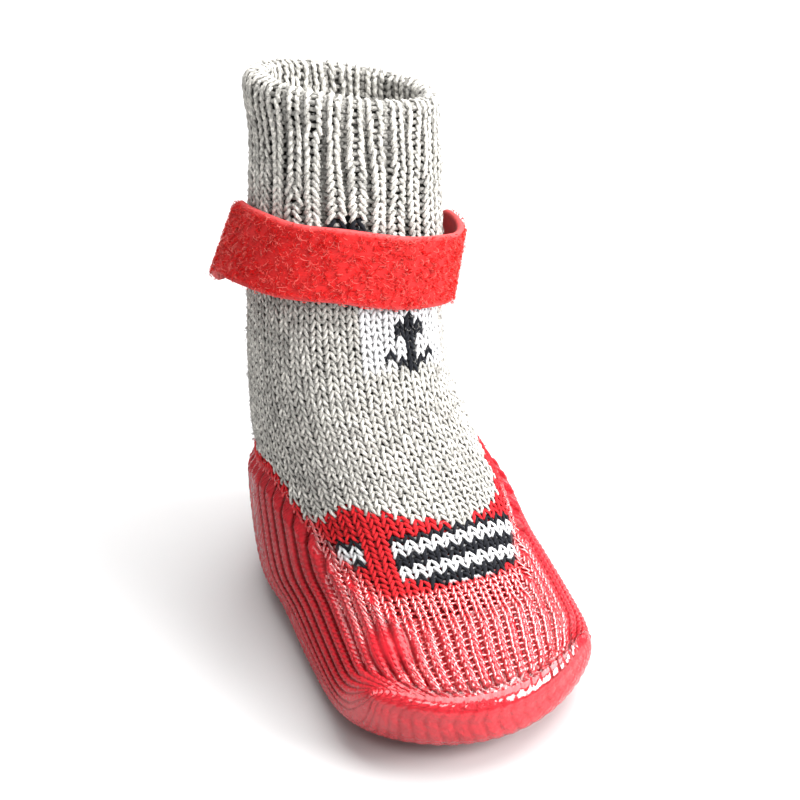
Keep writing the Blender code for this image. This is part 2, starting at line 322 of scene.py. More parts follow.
@dataclass
class SockForm:
    """The last of the sock: the loft that every knitted and dipped layer follows."""

    cuff_wall: float = 3.4
    cuff_end: float = 1.15
    wall: float = 2.0
    rubber_gap: float = 0.3
    rubber_wall: float = 1.0
    seam_bridge: float = 0.45
    toe_round: float = 0.9
    stitches: int = 56
    phase: float = 0.68
    leg_spread: float = 1.1
    foot_spread: float = -0.5
    spread_turn: float = 16.0
    slant: float = 3.0
    slant_turn: float = 4.0
    slant_reach: float = 4.2
    net_columns: int = 416
    net_rows: int = 521
    inner_rows: int = 30
    fold_rows: int = 14

    def column(self, name: str, place: Array) -> Array:
        """One column of the section table, on a smooth curve through its rows.

        Args:
            name: the column's name.
            place: where to read it.

        Returns:
            The value at each place.
        """
        values = np.array([getattr(row, name) for row in SECTIONS], float)
        ends = (2 * values[0] - values[1], 2 * values[-1] - values[-2])
        padded = np.concatenate((ends[:1], values, ends[1:]))
        i = np.clip(np.floor(place).astype(int), 0, LAST - 1)
        t = place - i
        a, b, c, d = (padded[i + k] for k in range(4))
        return 0.5 * (2 * b + (c - a) * t + (2 * a - 5 * b + 4 * c - d) * t ** 2
                      + (3 * b - a - 3 * c + d) * t ** 3)

    def rail(self, kind: str, place: Array, inset: Array) -> Array:
        """The (y, z) points of the top or the low rail, moved inward by inset.

        Args:
            kind: "top" or "low".
            place: where along the rail.
            inset: how far inward.

        Returns:
            2 x places values.
        """
        a, b = np.maximum(place - 0.02, 0.0), np.minimum(place + 0.02, LAST)
        step = np.stack([self.column(f"{kind}_{axis}", b) - self.column(f"{kind}_{axis}", a)
                         for axis in "yz"])
        sign = 1.0 if kind == "top" else -1.0
        normal = np.stack((-step[1], step[0])) * sign / np.hypot(step[0], step[1])
        here = np.stack([self.column(f"{kind}_{axis}", place) for axis in "yz"])
        return here + normal * inset

    @staticmethod
    def half_oval(square: float, share: Array) -> Pair:
        """Points of a unit half oval at shares of its length, left to right.

        Args:
            square: how square the oval is; 2 is round.
            share: the shares, from 0 to 1.

        Returns:
            How far across and how far out each point lies.
        """
        angle = np.linspace(0.0, math.pi, 241)
        c, s = np.cos(angle), np.sin(angle).clip(0.0)
        across = np.sign(c) * np.abs(c) ** (2 / square)
        out = s ** (2 / square)
        steps = np.hypot(np.diff(across), np.diff(out))
        length = np.concatenate(([0.0], np.cumsum(steps)))
        goal = share * length[-1]
        return np.interp(goal, length, across), np.interp(goal, length, out)

    def rings(self, places: Sequence[float], inset: Sequence[float] | float,
              close: float = 0.0) -> Array:
        """Rings round the form.

        Args:
            places: the section of each ring.
            inset: how far inside the outer skin each ring lies.
            close: how far a ring is rounded over the toe seam, from 0 to 1.

        Returns:
            Rings x columns x 3 points in millimetres.
        """
        place = np.asarray(places, float)
        inset = np.broadcast_to(np.asarray(inset, float), place.shape)
        turns = np.arange(self.net_columns) * WALES / self.net_columns
        upper = turns <= WALES / 2
        share = np.where(upper, turns, WALES - turns) / (WALES / 2)
        across = np.empty((len(place), len(turns)))
        out = np.empty_like(across)
        for i, (top, low) in enumerate(zip(self.column("n_top", place),
                                           self.column("n_low", place))):
            for half, square in ((upper, top), (~upper, low)):
                across[i, half], out[i, half] = self.half_oval(square, share[half])
        rails = {kind: self.rail(kind, place, inset) for kind in ("top", "low")}
        side = self.column("side", place)
        widest = rails["top"] + side * (rails["low"] - rails["top"])
        edge = np.where(upper, rails["top"][..., None], rails["low"][..., None])
        y, z = widest[..., None] + (edge - widest[..., None]) * out
        if close:
            angle = close * math.pi / 2
            middle = (rails["top"] + rails["low"]) / 2
            chord = rails["top"] - rails["low"]
            chord = chord / np.hypot(*chord)
            push = ((self.toe_round + np.maximum(-inset, 0.0))[:, None]
                    * math.sin(angle) * (1 - across ** 4))
            (mid_y, mid_z), (chord_y, chord_z) = middle[..., None], chord[..., None]
            y = mid_y + (y - mid_y) * math.cos(angle) - push * chord_z
            z = mid_z + (z - mid_z) * math.cos(angle) + push * chord_y
        half = (self.column("half", place) - inset)[:, None]
        bow = self.column("bow_y", place)[:, None]
        x = self.column("shift", place)[:, None] + half * across
        y = y + ((bow + inset[:, None] * 2 * bow / half) * across ** 2
                 + self.column("turn", place)[:, None] * across)
        z = z + (self.column("bow_z", place)[:, None] * across ** 2
                 + self.column("tip", place)[:, None] * across)
        floor = (self.rubber_gap + self.rubber_wall + inset)[:, None]
        return np.stack((x, y, np.maximum(z, floor)), axis=-1)

    def bend(self, places: Array, points: Array) -> Array:
        """Points moved in and out by the soft troughs and ridges of the knit.

        Args:
            places: the place of each row.
            points: rows x columns x 3 points.

        Returns:
            The moved points.
        """
        place = np.asarray(places, float)[:, None]
        turn = (np.arange(points.shape[1]) * WALES / points.shape[1])[None, :]
        depth = np.zeros(points.shape[:2])
        for spot in BENDS:
            depth += spot.depth * spot.share(place, turn)
        return points + Skin(np.arange(len(points)), points).normals * depth[..., None]

    def knit_skin(self) -> Skin:
        """The knit's outer face, from deep inside the cuff over the rim to the toe.

        Returns:
            A skin whose station counts courses from the rim's outer edge.
        """
        inner = self.rings(np.linspace(self.cuff_end, 0.0, self.inner_rows), self.cuff_wall)
        outer_places = np.linspace(0.0, LAST, self.net_rows)
        outer = self.bend(outer_places, self.rings(outer_places, 0.0))
        away = unit(outer[0] - outer[4])
        fold = fold_over(outer[0], inner[-1], away, self.cuff_wall,
                         np.linspace(math.pi, 0.0, self.fold_rows)[1:-1])
        points = np.concatenate((inner, np.array(fold), outer))
        column = points[:, int(TOP * self.net_columns / WALES)]
        steps = np.linalg.norm(np.diff(column, axis=0), axis=1)
        edge = len(inner) + len(fold)
        place = np.concatenate((np.zeros(edge), outer_places))
        steps = steps / self.course_height((place[1:] + place[:-1]) / 2)
        run = np.concatenate(([0.0], np.cumsum(steps)))
        station = run - run[edge]
        self.course_of_place = (outer_places, station[-len(outer_places):])
        return Skin(station, points)

    @staticmethod
    def course_height(place: Array) -> Array:
        """How tall a course is at a place, in millimetres."""
        return np.interp(place, [h.place for h in COURSE_HEIGHTS],
                         [h.height for h in COURSE_HEIGHTS])

    def turn_of(self, wale: Array, place: Array) -> Array:
        """Where a stitch lies round the sock.

        The front wales stand wide apart on the leg and draw together on the foot.

        Args:
            wale: the stitch's number round the course, with its fraction.
            place: how far down the sock it is.

        Returns:
            Its turn.
        """
        base = (wale + self.phase) * WALES / self.stitches
        spread = self.leg_spread * smooth(1.75, 2.6, place) * (1 - smooth(3.6, 4.9, place))
        spread = spread + self.foot_spread * smooth(5.4, 6.6, place)
        return base + spread * np.sin(TAU * (base - self.spread_turn) / WALES)

    def droop(self, place: Array, turn: Array) -> Array:
        """How many courses a course hangs lower, toward the wearer's left side.

        Args:
            place: how far down the sock.
            turn: how far round it.

        Returns:
            The number of courses.
        """
        gap = turn_gap(turn, self.slant_turn)
        amount = self.slant * np.exp(-(gap / self.slant_reach) ** 2)
        amount = amount * smooth(0.8, 2.6, place) * (1 - smooth(8.4, 9.8, place))
        return amount / self.course_height(place)

    @staticmethod
    def past_dip(place: Array, turn: Array) -> Array:
        """How far a point lies past the rubber's edge, in places."""
        return place - along_line(DIP_EDGE, turn % WALES)

    @staticmethod
    def showing(place: Array, turn: Array) -> Array:
        """How clearly coated loops stand out of the rubber, from 0 to 1.

        Args:
            place: how far down the sock.
            turn: how far round it.

        Returns:
            The clearness of each point.
        """
        turn = turn % WALES
        sides = smooth(5.2, 6.6, turn) * (1 - smooth(20.2, 21.8, turn))
        seam = 1 - smooth(-0.35, -0.05, place - along_line(SEAM_LINE, turn))
        return sides * seam * (1 - smooth(0.15, 0.75, SMEARED_LOOPS.share(place, turn)))

    def place_at(self, course: Array) -> Array:
        """The place of a course outside the sock."""
        places, courses = self.course_of_place
        return np.interp(course, courses, places)

    def course_at(self, place: Array) -> Array:
        """The course at a place outside the sock."""
        places, courses = self.course_of_place
        return np.interp(place, places, courses)


class Dye(Enum):
    """The yarns of the sock, as linear colours."""

    GREY = (0.64, 0.62, 0.575)
    RED = (0.62, 0.015, 0.021)
    WHITE = (0.70, 0.70, 0.71)
    BLACK = (0.009, 0.010, 0.014)


DYES = {"g": Dye.GREY, "r": Dye.RED, "w": Dye.WHITE, "k": Dye.BLACK, "t": Dye.RED}


class Oval(NamedTuple):
    """A knitted black oval.

    Args:
        turn: where its middle lies round the sock.
        place: where its middle lies down the sock.
        half_turn: half its width.
        half_place: half its height.
        tilt: how far its middle moves round for each place down.
    """

    turn: float
    place: float
    half_turn: float
    half_place: float
    tilt: float


@dataclass
class Pattern:
    """The knitting chart: which yarn makes each stitch."""

    form: SockForm
    stripe_place: float = 6.42
    stripe_wale: int = 6
    anchor_place: float = 2.93
    anchor_wale: int = 8
    patch_places: Range = (2.2, 3.62)
    patch_wales: tuple[int, int] = (6, 15)
    anchor: tuple[str, ...] = ("..#..", ".###.", ".###.", "..#..", "..#..",
                               "#.#.#", ".###.", "..#..")
    stripes: tuple[str, ...] = ("kkkkkkkkkkk", "wwwwwwwwwww", "wwwwwwwwwww", "kkkkkkkkkkk",
                                "kkkkkkkkkkk", "wwwwwwwwwww", "wwwwwwwwwww", ".kkkkkkkkk.",
                                "...kkkkkk..", "....tttt...")
    flag: tuple[str, ...] = ("kkk", "ww.", "ww.", "k..")
    flag_wale: int = 19
    ovals: tuple[Oval, ...] = (Oval(14.3, 2.22, 2.2, 0.61, -1.2),
                               Oval(50.5, 2.05, 3.6, 0.62, 0.0))

    def __post_init__(self) -> None:
        """Place the charts on whole courses."""
        self.stripe_course = round(float(self.form.course_at(self.stripe_place)))
        self.anchor_course = round(float(self.form.course_at(self.anchor_place)))

    @staticmethod
    def read(chart: tuple[str, ...], row: int, column: int) -> str:
        """The letter of a small chart, or nothing outside it."""
        if 0 <= row < len(chart) and 0 <= column < len(chart[0]):
            return chart[row][column]
        return "."

    def letter(self, course: int, wale: int) -> str:
        """The chart's letter for a stitch: grey g, red r, white w, black k, tip t.

        Args:
            course: which course, counted from the rim.
            wale: which wale.

        Returns:
            The letter.
        """
        start = float(self.form.place_at(course))
        turn = float(self.form.turn_of(wale + 0.5, start)) % WALES
        droop = float(self.form.droop(start, np.array(turn)))
        place = float(self.form.place_at(course + droop))
        for chart, first, left in ((self.stripes, self.stripe_course, self.stripe_wale),
                                   (self.flag, self.stripe_course, self.flag_wale)):
            found = self.read(chart, course - first, wale - left)
            if found != ".":
                return found
        if self.read(self.anchor, course - self.anchor_course, wale - self.anchor_wale) == "#":
            return "k"
        if (self.patch_places[0] <= start < self.patch_places[1]
                and self.patch_wales[0] <= wale < self.patch_wales[1]):
            return "w"
        for oval in self.ovals:
            down = place - oval.place
            gap = float(turn_gap(np.array(turn), oval.turn + oval.tilt * down))
            if (gap / oval.half_turn) ** 2 + (down / oval.half_place) ** 2 < 1:
                return "k"
        return "r" if place > float(along_line(RED_EDGE, np.array(turn))) else "g"

    def chart(self, course: int) -> Array:
        """The letters of a whole course, one for each wale."""
        return np.array([self.letter(course, w) for w in range(self.form.stitches)])


class NodeDesk:
    """Lays out the nodes of one tree, with short calls for the common ones."""

    def __init__(self, tree: Tree) -> None:
        """Keep the tree that the nodes go into."""
        self.tree = tree

    def add(self, kind: str, feeds: Feeds | None = None, **props: object) -> Node:
        """Make one node.

        Args:
            kind: the node's type, without the ShaderNode in front.
            feeds: a value or an output socket for each of its inputs.
            props: the node's own properties.

        Returns:
            The node.
        """
        node = self.tree.nodes.new("ShaderNode" + kind)
        for name, value in props.items():
            setattr(node, name, value)
        self.feed(node, feeds or {})
        return node

    def feed(self, node: Node, feeds: Feeds) -> None:
        """Put a value or a link on each of the named inputs of a node.

        Args:
            node: the node.
            feeds: a value or an output socket for each input.
        """
        for name, value in feeds.items():
            if isinstance(value, Socket):
                self.tree.links.new(value, node.inputs[name])
            else:
                node.inputs[name].default_value = value

    def math(self, operation: str, a: object, b: object = 0.0, c: object = 0.0) -> Socket:
        """The result of one step of arithmetic."""
        node = self.add("Math", {0: a, 1: b, 2: c}, operation=operation)
        return node.outputs[0]

    def times(self, a: object, b: object) -> Socket:
        """The product of two values."""
        return self.math("MULTIPLY", a, b)

    def times_plus(self, a: object, b: object, c: object) -> Socket:
        """The product of the first two values, plus the third."""
        return self.math("MULTIPLY_ADD", a, b, c)

    def span(self, value: object, low: float, high: float, to_low: float = 0.0,
             to_high: float = 1.0) -> Socket:
        """A value carried from the span low to high onto another span, smoothly."""
        node = self.add("MapRange", {"Value": value, "From Min": low, "From Max": high,
                                     "To Min": to_low, "To Max": to_high},
                        interpolation_type="SMOOTHSTEP")
        return node.outputs["Result"]

    def blend(self, share: object, a: object, b: object, how: str = "MIX") -> Socket:
        """Two colours mixed by a share of the second one."""
        node = self.add("Mix", {"Factor": share, 6: a, 7: b}, data_type="RGBA", blend_type=how)
        return node.outputs[2]

    def shaded(self, colour: object, value: object) -> Socket:
        """A colour made darker or lighter by a value."""
        grey = self.add("CombineColor", {"Red": value, "Green": value, "Blue": value})
        return self.blend(1.0, colour, grey.outputs[0], "MULTIPLY")

    def attribute(self, name: str, output: str = "Fac") -> Socket:
        """A value or colour stored on the mesh."""
        return self.add("Attribute", attribute_name=name,
                        attribute_type="GEOMETRY").outputs[output]

    def position(self) -> Socket:
        """The point in the object's own space."""
        return self.add("TexCoord").outputs["Object"]

    def noise(self, vector: object, scale: object, detail: float = 2.0,
              roughness: float = 0.5) -> Socket:
        """A cloudy noise over the points of a vector."""
        node = self.add("TexNoise", {"Vector": vector, "Scale": scale, "Detail": detail,
                                     "Roughness": roughness})
        return node.outputs["Fac"]

    def bump(self, height: object, strength: float, distance: float, **feeds: object) -> Socket:
        """A normal bent by a height; the distance is in metres."""
        node = self.add("Bump", {"Height": height, "Strength": strength,
                                 "Distance": distance, **feeds})
        return node.outputs["Normal"]

    def group(self, effect: "Effect", feeds: Feeds) -> Node:
        """A shared effect placed in this tree with its own values."""
        node = self.add("Group", node_tree=effect.tree())
        self.feed(node, feeds)
        return node

    def mottle(self, scale: float, low: float, high: float,
               vector: Socket | None = None) -> Socket:
        """A cloudy value from low to high, over the object or over a vector.

        Args:
            scale: how fine the clouds are.
            low: the lowest value.
            high: the highest value.
            vector: the points; the object's own if none.

        Returns:
            The value's socket.
        """
        vector = self.position() if vector is None else vector
        node = self.group(Effect.MOTTLE, {"Vector": vector, "Scale": scale,
                                          "Low": low, "High": high})
        return node.outputs["Value"]


class Effect(Enum):
    """Shared shader effects, each one node group."""

    MOTTLE = "Cloth mottle"
    TWIST = "Yarn twist"
    STITCHES = "Stitches through rubber"
    WEAVE = "Tape weave"

    def tree(self) -> Tree:
        """The effect's node group, built the first time that it is asked for.

        Returns:
            The node group.
        """
        found = bpy.data.node_groups.get(self.value)
        if found is None:
            found = bpy.data.node_groups.new(self.value, "ShaderNodeTree")
            recipe = RECIPES[self]
            for name, value in recipe.inputs.items():
                made = found.interface.new_socket(
                    name, in_out="INPUT", socket_type=VECTOR if value is None else FLOAT)
                if value is not None:
                    made.default_value = value
            for name in recipe.outputs:
                found.interface.new_socket(name, in_out="OUTPUT", socket_type=FLOAT)
            start, end = (found.nodes.new("NodeGroup" + side) for side in ("Input", "Output"))
            desk = NodeDesk(found)
            desk.feed(end, recipe.wire(desk, start.outputs))
        return found


FLOAT, VECTOR = "NodeSocketFloat", "NodeSocketVector"


def wire_mottle(desk: NodeDesk, given: Given) -> Feeds:
    """Cloudy change of tone over a surface: a value from Low to High.

    Args:
        desk: the desk of the group's tree.
        given: the group's inputs.

    Returns:
        The group's outputs.
    """
    noise = desk.noise(given["Vector"], given["Scale"], 3.0, 0.6)
    result = desk.add("MapRange", {"Value": noise, "From Min": 0.3, "From Max": 0.7,
                                   "To Min": given["Low"], "To Max": given["High"]})
    return {"Value": result.outputs["Result"]}


def wire_twist(desk: NodeDesk, given: Given) -> Feeds:
    """The plies and fibres of a yarn, from how far along and around it a point is.

    Args:
        desk: the desk of the group's tree.
        given: the group's inputs.

    Returns:
        The group's outputs.
    """
    lay = desk.math("DIVIDE", given["Along"], given["Pitch"])
    phase = desk.math("ADD", lay, desk.times(given["Around"], 2.0))
    ply = desk.math("ABSOLUTE", desk.math("SINE", desk.times(phase, math.pi)))
    spot = desk.add("CombineXYZ", {"X": desk.times(given["Along"], 0.9),
                                   "Y": desk.times(phase, 3.0), "Z": 0.0})
    hair = desk.noise(spot.outputs[0], 2.6, 3.0, 0.7)
    return {"Height": desk.times_plus(hair, 0.45, ply), "Fibre": hair}


def wire_stitches(desk: NodeDesk, given: Given) -> Feeds:
    """Legs of stitches that show through rubber, as a height and a valley mask.

    Args:
        desk: the desk of the group's tree.
        given: the group's inputs.

    Returns:
        The group's outputs.
    """
    side = given["Side"]
    valley = desk.span(side, 0.50, 0.92)
    centre = desk.span(side, 0.22, 0.0)
    leg = desk.times_plus(side, given["Slant"], given["Stitch"])
    wobble = desk.noise(given["Vector"], 420.0)
    leg = desk.times_plus(wobble, 0.55, leg)
    wave = desk.times_plus(desk.math("SINE", desk.times(leg, TAU)), 0.5, 0.5)
    blot = desk.noise(given["Vector"], 900.0, 3.0, 0.65)
    height = desk.math("SUBTRACT", wave, desk.times(centre, 0.6))
    height = desk.math("SUBTRACT", height, desk.times(valley, 1.1))
    height = desk.times_plus(blot, 0.8, height)
    return {"Height": height, "Valley": valley, "Blot": blot}


def wire_weave(desk: NodeDesk, given: Given) -> Feeds:
    """A twill of small dimples in a woven tape.

    Args:
        desk: the desk of the group's tree.
        given: the group's inputs.

    Returns:
        The group's outputs.
    """
    waves = []
    for tilt in (0.55, -0.55):
        run = desk.times_plus(given["Across"], tilt, given["Along"])
        turns = desk.math("DIVIDE", run, given["Pitch"])
        waves.append(desk.math("SINE", desk.times(turns, TAU)))
    dimple = desk.span(desk.times(*waves), 0.15, 0.8)
    return {"Height": desk.math("SUBTRACT", 1.0, dimple), "Dimple": dimple}


class Recipe(NamedTuple):
    """How an effect is made: its inputs (none for a vector), outputs and nodes."""

    inputs: dict[str, float | None]
    outputs: tuple[str, ...]
    wire: Callable[[NodeDesk, Given], Feeds]


RECIPES = {
    Effect.MOTTLE: Recipe({"Vector": None, "Scale": 300.0, "Low": 0.8, "High": 1.0},
                          ("Value",), wire_mottle),
    Effect.TWIST: Recipe({"Along": 0.0, "Around": 0.0, "Pitch": 1.1},
                         ("Height", "Fibre"), wire_twist),
    Effect.STITCHES: Recipe({"Side": 0.0, "Stitch": 0.0, "Slant": 0.45, "Vector": None},
                            ("Height", "Valley", "Blot"), wire_stitches),
    Effect.WEAVE: Recipe({"Along": 0.0, "Across": 0.0, "Pitch": 0.9},
                         ("Height", "Dimple"), wire_weave),
}


def new_material(name: str) -> tuple[Material, NodeDesk, Node]:
    """An empty node material with its Principled shader.

    Args:
        name: the material's name.

    Returns:
        The material, the desk of its tree and its shader.
    """
    made = bpy.data.materials.new(name)
    made.use_nodes = True
    return made, NodeDesk(made.node_tree), made.node_tree.nodes["Principled BSDF"]


@dataclass(frozen=True)
class CottonYarn:
    """Matt twisted cotton, marled where it is grey, wet-looking near the dip, and darkened
    towards each strand's sides as painted shade.
    """

    name: str = "cotton_yarn"
    dark_marl: float = 0.30
    roughness: float = 0.92
    wet_roughness: float = 0.25
    # How dark the painted shade on each strand's sides goes.
    shade: float = 0.36
    coated: Rgba = (0.54, 0.005, 0.010, 1.0)

    def build(self) -> Material:
        """Make the material; colour, marl and wetness come from the mesh.

        Returns:
            The material.
        """
        made, desk, shader = new_material(self.name)
        along, around = desk.attribute("along"), desk.attribute("around")
        twist = desk.group(Effect.TWIST, {"Along": along, "Around": around, "Pitch": 1.25})
        spot = desk.add("CombineXYZ", {"X": desk.times(along, 0.35),
                                       "Y": desk.times(around, 0.6), "Z": 0.0})
        marl = desk.mottle(3.4, self.dark_marl, 1.3, spot.outputs[0])
        fibre = desk.span(twist.outputs["Fibre"], 0.28, 0.72, 0.58, 1.22)
        marl = desk.times_plus(desk.attribute("marl"), desk.math("SUBTRACT", marl, 1.0), 1.0)
        tone = desk.times(fibre, marl)
        tone = desk.times(tone, desk.attribute("tone"))
        colour = desk.shaded(desk.attribute("dye", "Color"), tone)
        wet = desk.attribute("wet")
        colour = desk.blend(desk.times(wet, 0.85), colour, self.coated)
        # Painted shade: each strand darkens from its crest towards its sides, less where it is
        # wet.
        crest = desk.span(desk.attribute("crest"), 0.1, 0.95, self.shade, 1.08)
        crest = desk.times_plus(wet, desk.times(desk.math("SUBTRACT", 1.0, crest), 0.55), crest)
        gloss = desk.times(wet, desk.span(desk.attribute("crest"), 0.30, 0.72))
        colour = desk.shaded(colour, crest)
        rough = desk.times_plus(wet, self.wet_roughness - self.roughness, self.roughness)
        lumps = desk.noise(desk.position(), 1500.0)
        dry = desk.times(twist.outputs["Height"], desk.times_plus(wet, -0.9, 1.0))
        height = desk.times_plus(desk.times(wet, 2.6), lumps, dry)
        desk.feed(shader, {
            "Base Color": colour, "Roughness": rough,
            "Normal": desk.bump(height, 0.7, 0.00012),
            "Sheen Weight": 0.04, "Sheen Roughness": 0.5, "Specular IOR Level": 0.2,
            "Coat Weight": gloss, "Coat Roughness": 0.12, "Coat IOR": 2.5})
        return made


@dataclass(frozen=True)
class KnitGround:
    """The ground of the knit that shows between the loops and inside, its dye darkened as painted
    shade.
    """

    name: str = "knit_ground"

    def build(self) -> Material:
        """Make the material; its colour comes from the mesh.

        Returns:
            The material.
        """
        made, desk, shader = new_material(self.name)
        # The tone from the mesh is painted shade; the mottle changes it at random.
        value = desk.times(desk.mottle(700.0, 0.7, 1.2), desk.attribute("tone"))
        colour = desk.shaded(desk.attribute("dye", "Color"), value)
        column = desk.math("FRACT", desk.attribute("wale"))
        side = desk.math("ABSOLUTE", desk.times_plus(column, 2.0, -1.0))
        stitch = desk.group(Effect.STITCHES, {
            "Side": side, "Stitch": desk.attribute("stitch"),
            "Slant": 0.45, "Vector": desk.position()})
        desk.feed(shader, {"Base Color": colour, "Roughness": 0.95,
                           "Normal": desk.bump(stitch.outputs["Height"], 0.8, 0.0004),
                           "Specular IOR Level": 0.2})
        return made


@dataclass(frozen=True)
class DippedRubber:
    """Glossy latex over the knit, thin on the crests and pooled in the valleys, which are
    darkened as painted shade.
    """

    name: str = "dipped_rubber"
    crest: Rgba = (0.52, 0.012, 0.022, 1.0)
    # The valleys' colour: painted shade together with the deeper red of pooled latex.
    pool_and_shade: Rgba = (0.125, 0.001, 0.002, 1.0)
    gloss: float = 0.17

    def build(self) -> Material:
        """Make the material; side, stitch and relief come from the mesh.

        Returns:
            The material.
        """
        made, desk, shader = new_material(self.name)
        place = desk.position()
        stitch = desk.group(Effect.STITCHES, {
            "Side": desk.attribute("side"), "Stitch": desk.attribute("stitch"),
            "Slant": 0.5, "Vector": place})
        relief = desk.attribute("relief")
        mottle = desk.mottle(160.0, 0.0, 0.25, place)
        # Painted shade: the valleys take the pool colour, less in the windows where coated loops
        # stand out; the mottle varies it at random.
        depth = desk.times(stitch.outputs["Valley"], relief)
        depth = desk.times(depth, desk.times_plus(desk.attribute("window"), -0.72, 0.95))
        share = desk.math("ADD", depth, mottle)
        colour = desk.blend(share, self.crest, self.pool_and_shade)
        lumps = desk.noise(place, 1100.0, 3.0)
        clear = desk.times(stitch.outputs["Height"], relief)
        clear = desk.times_plus(desk.times(lumps, 3.6), desk.attribute("lumps"), clear)
        fine = desk.bump(clear, 0.9, 0.00036)
        grain = desk.bump(desk.noise(place, 2200.0, 3.0), 0.45, 0.00010, Normal=fine)
        coat = desk.span(share, 0.05, 0.6, 0.19, 0.02)
        coat = desk.times_plus(desk.attribute("lumps"), 0.75, coat)
        rough = desk.times_plus(stitch.outputs["Blot"], 0.22, self.gloss - 0.08)
        desk.feed(shader, {
            "Base Color": colour, "Roughness": rough, "Normal": grain,
            "Coat Weight": coat, "Coat Roughness": 0.08, "Coat IOR": 2.0,
            "Specular IOR Level": 0.10})
        return made


@dataclass(frozen=True)
class PileLoops:
    """The curled nylon loops of the strap's face, each mixed at random towards a pale colour that
    is painted sheen.
    """

    name: str = "pile_loops"
    deep: Rgba = (0.60, 0.002, 0.002, 1.0)
    pale: Rgba = (0.78, 0.26, 0.22, 1.0)

    def build(self) -> Material:
        """Make the material; each loop's tone comes from the mesh.

        Returns:
            The material.
        """
        made, desk, shader = new_material(self.name)
        tone = desk.attribute("tone")
        speck = desk.mottle(900.0, -0.28, 0.10)
        # The pale colour is painted sheen on the hairs; each loop's share of it comes from the
        # mesh and the mottle.
        colour = desk.blend(desk.math("ADD", tone, speck), self.deep, self.pale)
        desk.feed(shader, {"Base Color": colour, "Roughness": 0.42,
                           "Sheen Weight": 0.0, "Specular IOR Level": 0.08})
        return made


@dataclass(frozen=True)
class TapeGround:
    """The woven nylon ground of the strap, with paler woven edges."""

    name: str = "tape_ground"
    face: Rgba = (0.57, 0.003, 0.003, 1.0)
    edge: Rgba = (0.62, 0.06, 0.06, 1.0)

    def build(self) -> Material:
        """Make the material; along, across and edge come from the mesh.

        Returns:
            The material.
        """
        made, desk, shader = new_material(self.name)
        weave = desk.group(Effect.WEAVE, {"Along": desk.attribute("along"),
                                          "Across": desk.attribute("across"), "Pitch": 0.55})
        mottle = desk.mottle(500.0, 0.8, 1.1)
        colour = desk.blend(desk.attribute("edge"), self.face, self.edge)
        colour = desk.shaded(colour, mottle)
        desk.feed(shader, {"Base Color": colour, "Roughness": 0.8, "Sheen Weight": 0.02,
                           "Normal": desk.bump(weave.outputs["Height"], 0.5, 0.00012)})
        return made


@dataclass(frozen=True)
class HookTape:
    """The dimpled twill back of the hook end."""

    name: str = "hook_tape"
    face: Rgba = (0.50, 0.014, 0.020, 1.0)
    # The dimples' darker colour, painted shade.
    dimple: Rgba = (0.34, 0.006, 0.009, 1.0)
    edge: Rgba = (0.60, 0.14, 0.135, 1.0)

    def build(self) -> Material:
        """Make the material; along, across and edge come from the mesh.

        Returns:
            The material.
        """
        made, desk, shader = new_material(self.name)
        weave = desk.group(Effect.WEAVE, {"Along": desk.attribute("along"),
                                          "Across": desk.attribute("across"), "Pitch": 1.15})
        mottle = desk.mottle(350.0, 0.0, 0.3)
        # Painted shade: the twill's dimples take the darker colour.
        share = desk.math("ADD", desk.times(weave.outputs["Dimple"], 0.8), mottle)
        colour = desk.blend(share, self.face, self.dimple)
        colour = desk.blend(desk.attribute("edge"), colour, self.edge)
        desk.feed(shader, {"Base Color": colour, "Roughness": 0.5, "Sheen Weight": 0.15,
                           "Normal": desk.bump(weave.outputs["Height"], 0.6, 0.00025)})
        return made


@dataclass(frozen=True)
class SewingThread:
    """Shiny twisted sewing thread."""

    name: str = "sewing_thread"
    colour: Rgba = (0.60, 0.15, 0.14, 1.0)

    def build(self) -> Material:
        """Make the material; the twist follows the mesh.

        Returns:
            The material.
        """
        made, desk, shader = new_material(self.name)
        twist = desk.group(Effect.TWIST, {"Along": desk.attribute("along"),
                                          "Around": desk.attribute("around"), "Pitch": 0.6})
        tone = desk.span(twist.outputs["Fibre"], 0.2, 0.8)
        dark = tuple(0.6 * c for c in self.colour[:3]) + (1.0,)
        bump = desk.bump(twist.outputs["Height"], 0.5, 0.00006)
        desk.feed(shader, {"Base Color": desk.blend(tone, dark, self.colour),
                           "Roughness": 0.45, "Normal": bump})
        return made


@dataclass(frozen=True)
class PaleFloor:
    """A plain pale studio floor."""

    name: str = "pale_floor"
    colour: Rgba = (0.56, 0.56, 0.56, 1.0)

    def build(self) -> Material:
        """Make the material, with the faintest change of tone.

        Returns:
            The material.
        """
        made, desk, shader = new_material(self.name)
        mottle = desk.mottle(4.0, 0.985, 1.0)
        desk.feed(shader, {"Base Color": desk.shaded(self.colour, mottle),
                           "Roughness": 0.6, "Specular IOR Level": 0.25})
        return made


class Finish(Enum):
    """Every finish of the sock and its floor, each made once."""

    YARN = CottonYarn()
    GROUND = KnitGround()
    RUBBER = DippedRubber()
    PILE = PileLoops()
    TAPE = TapeGround()
    HOOK = HookTape()
    THREAD = SewingThread()
    FLOOR = PaleFloor()

    def material(self) -> Material:
        """The finish's material, built the first time that it is asked for."""
        return bpy.data.materials.get(self.value.name) or self.value.build()


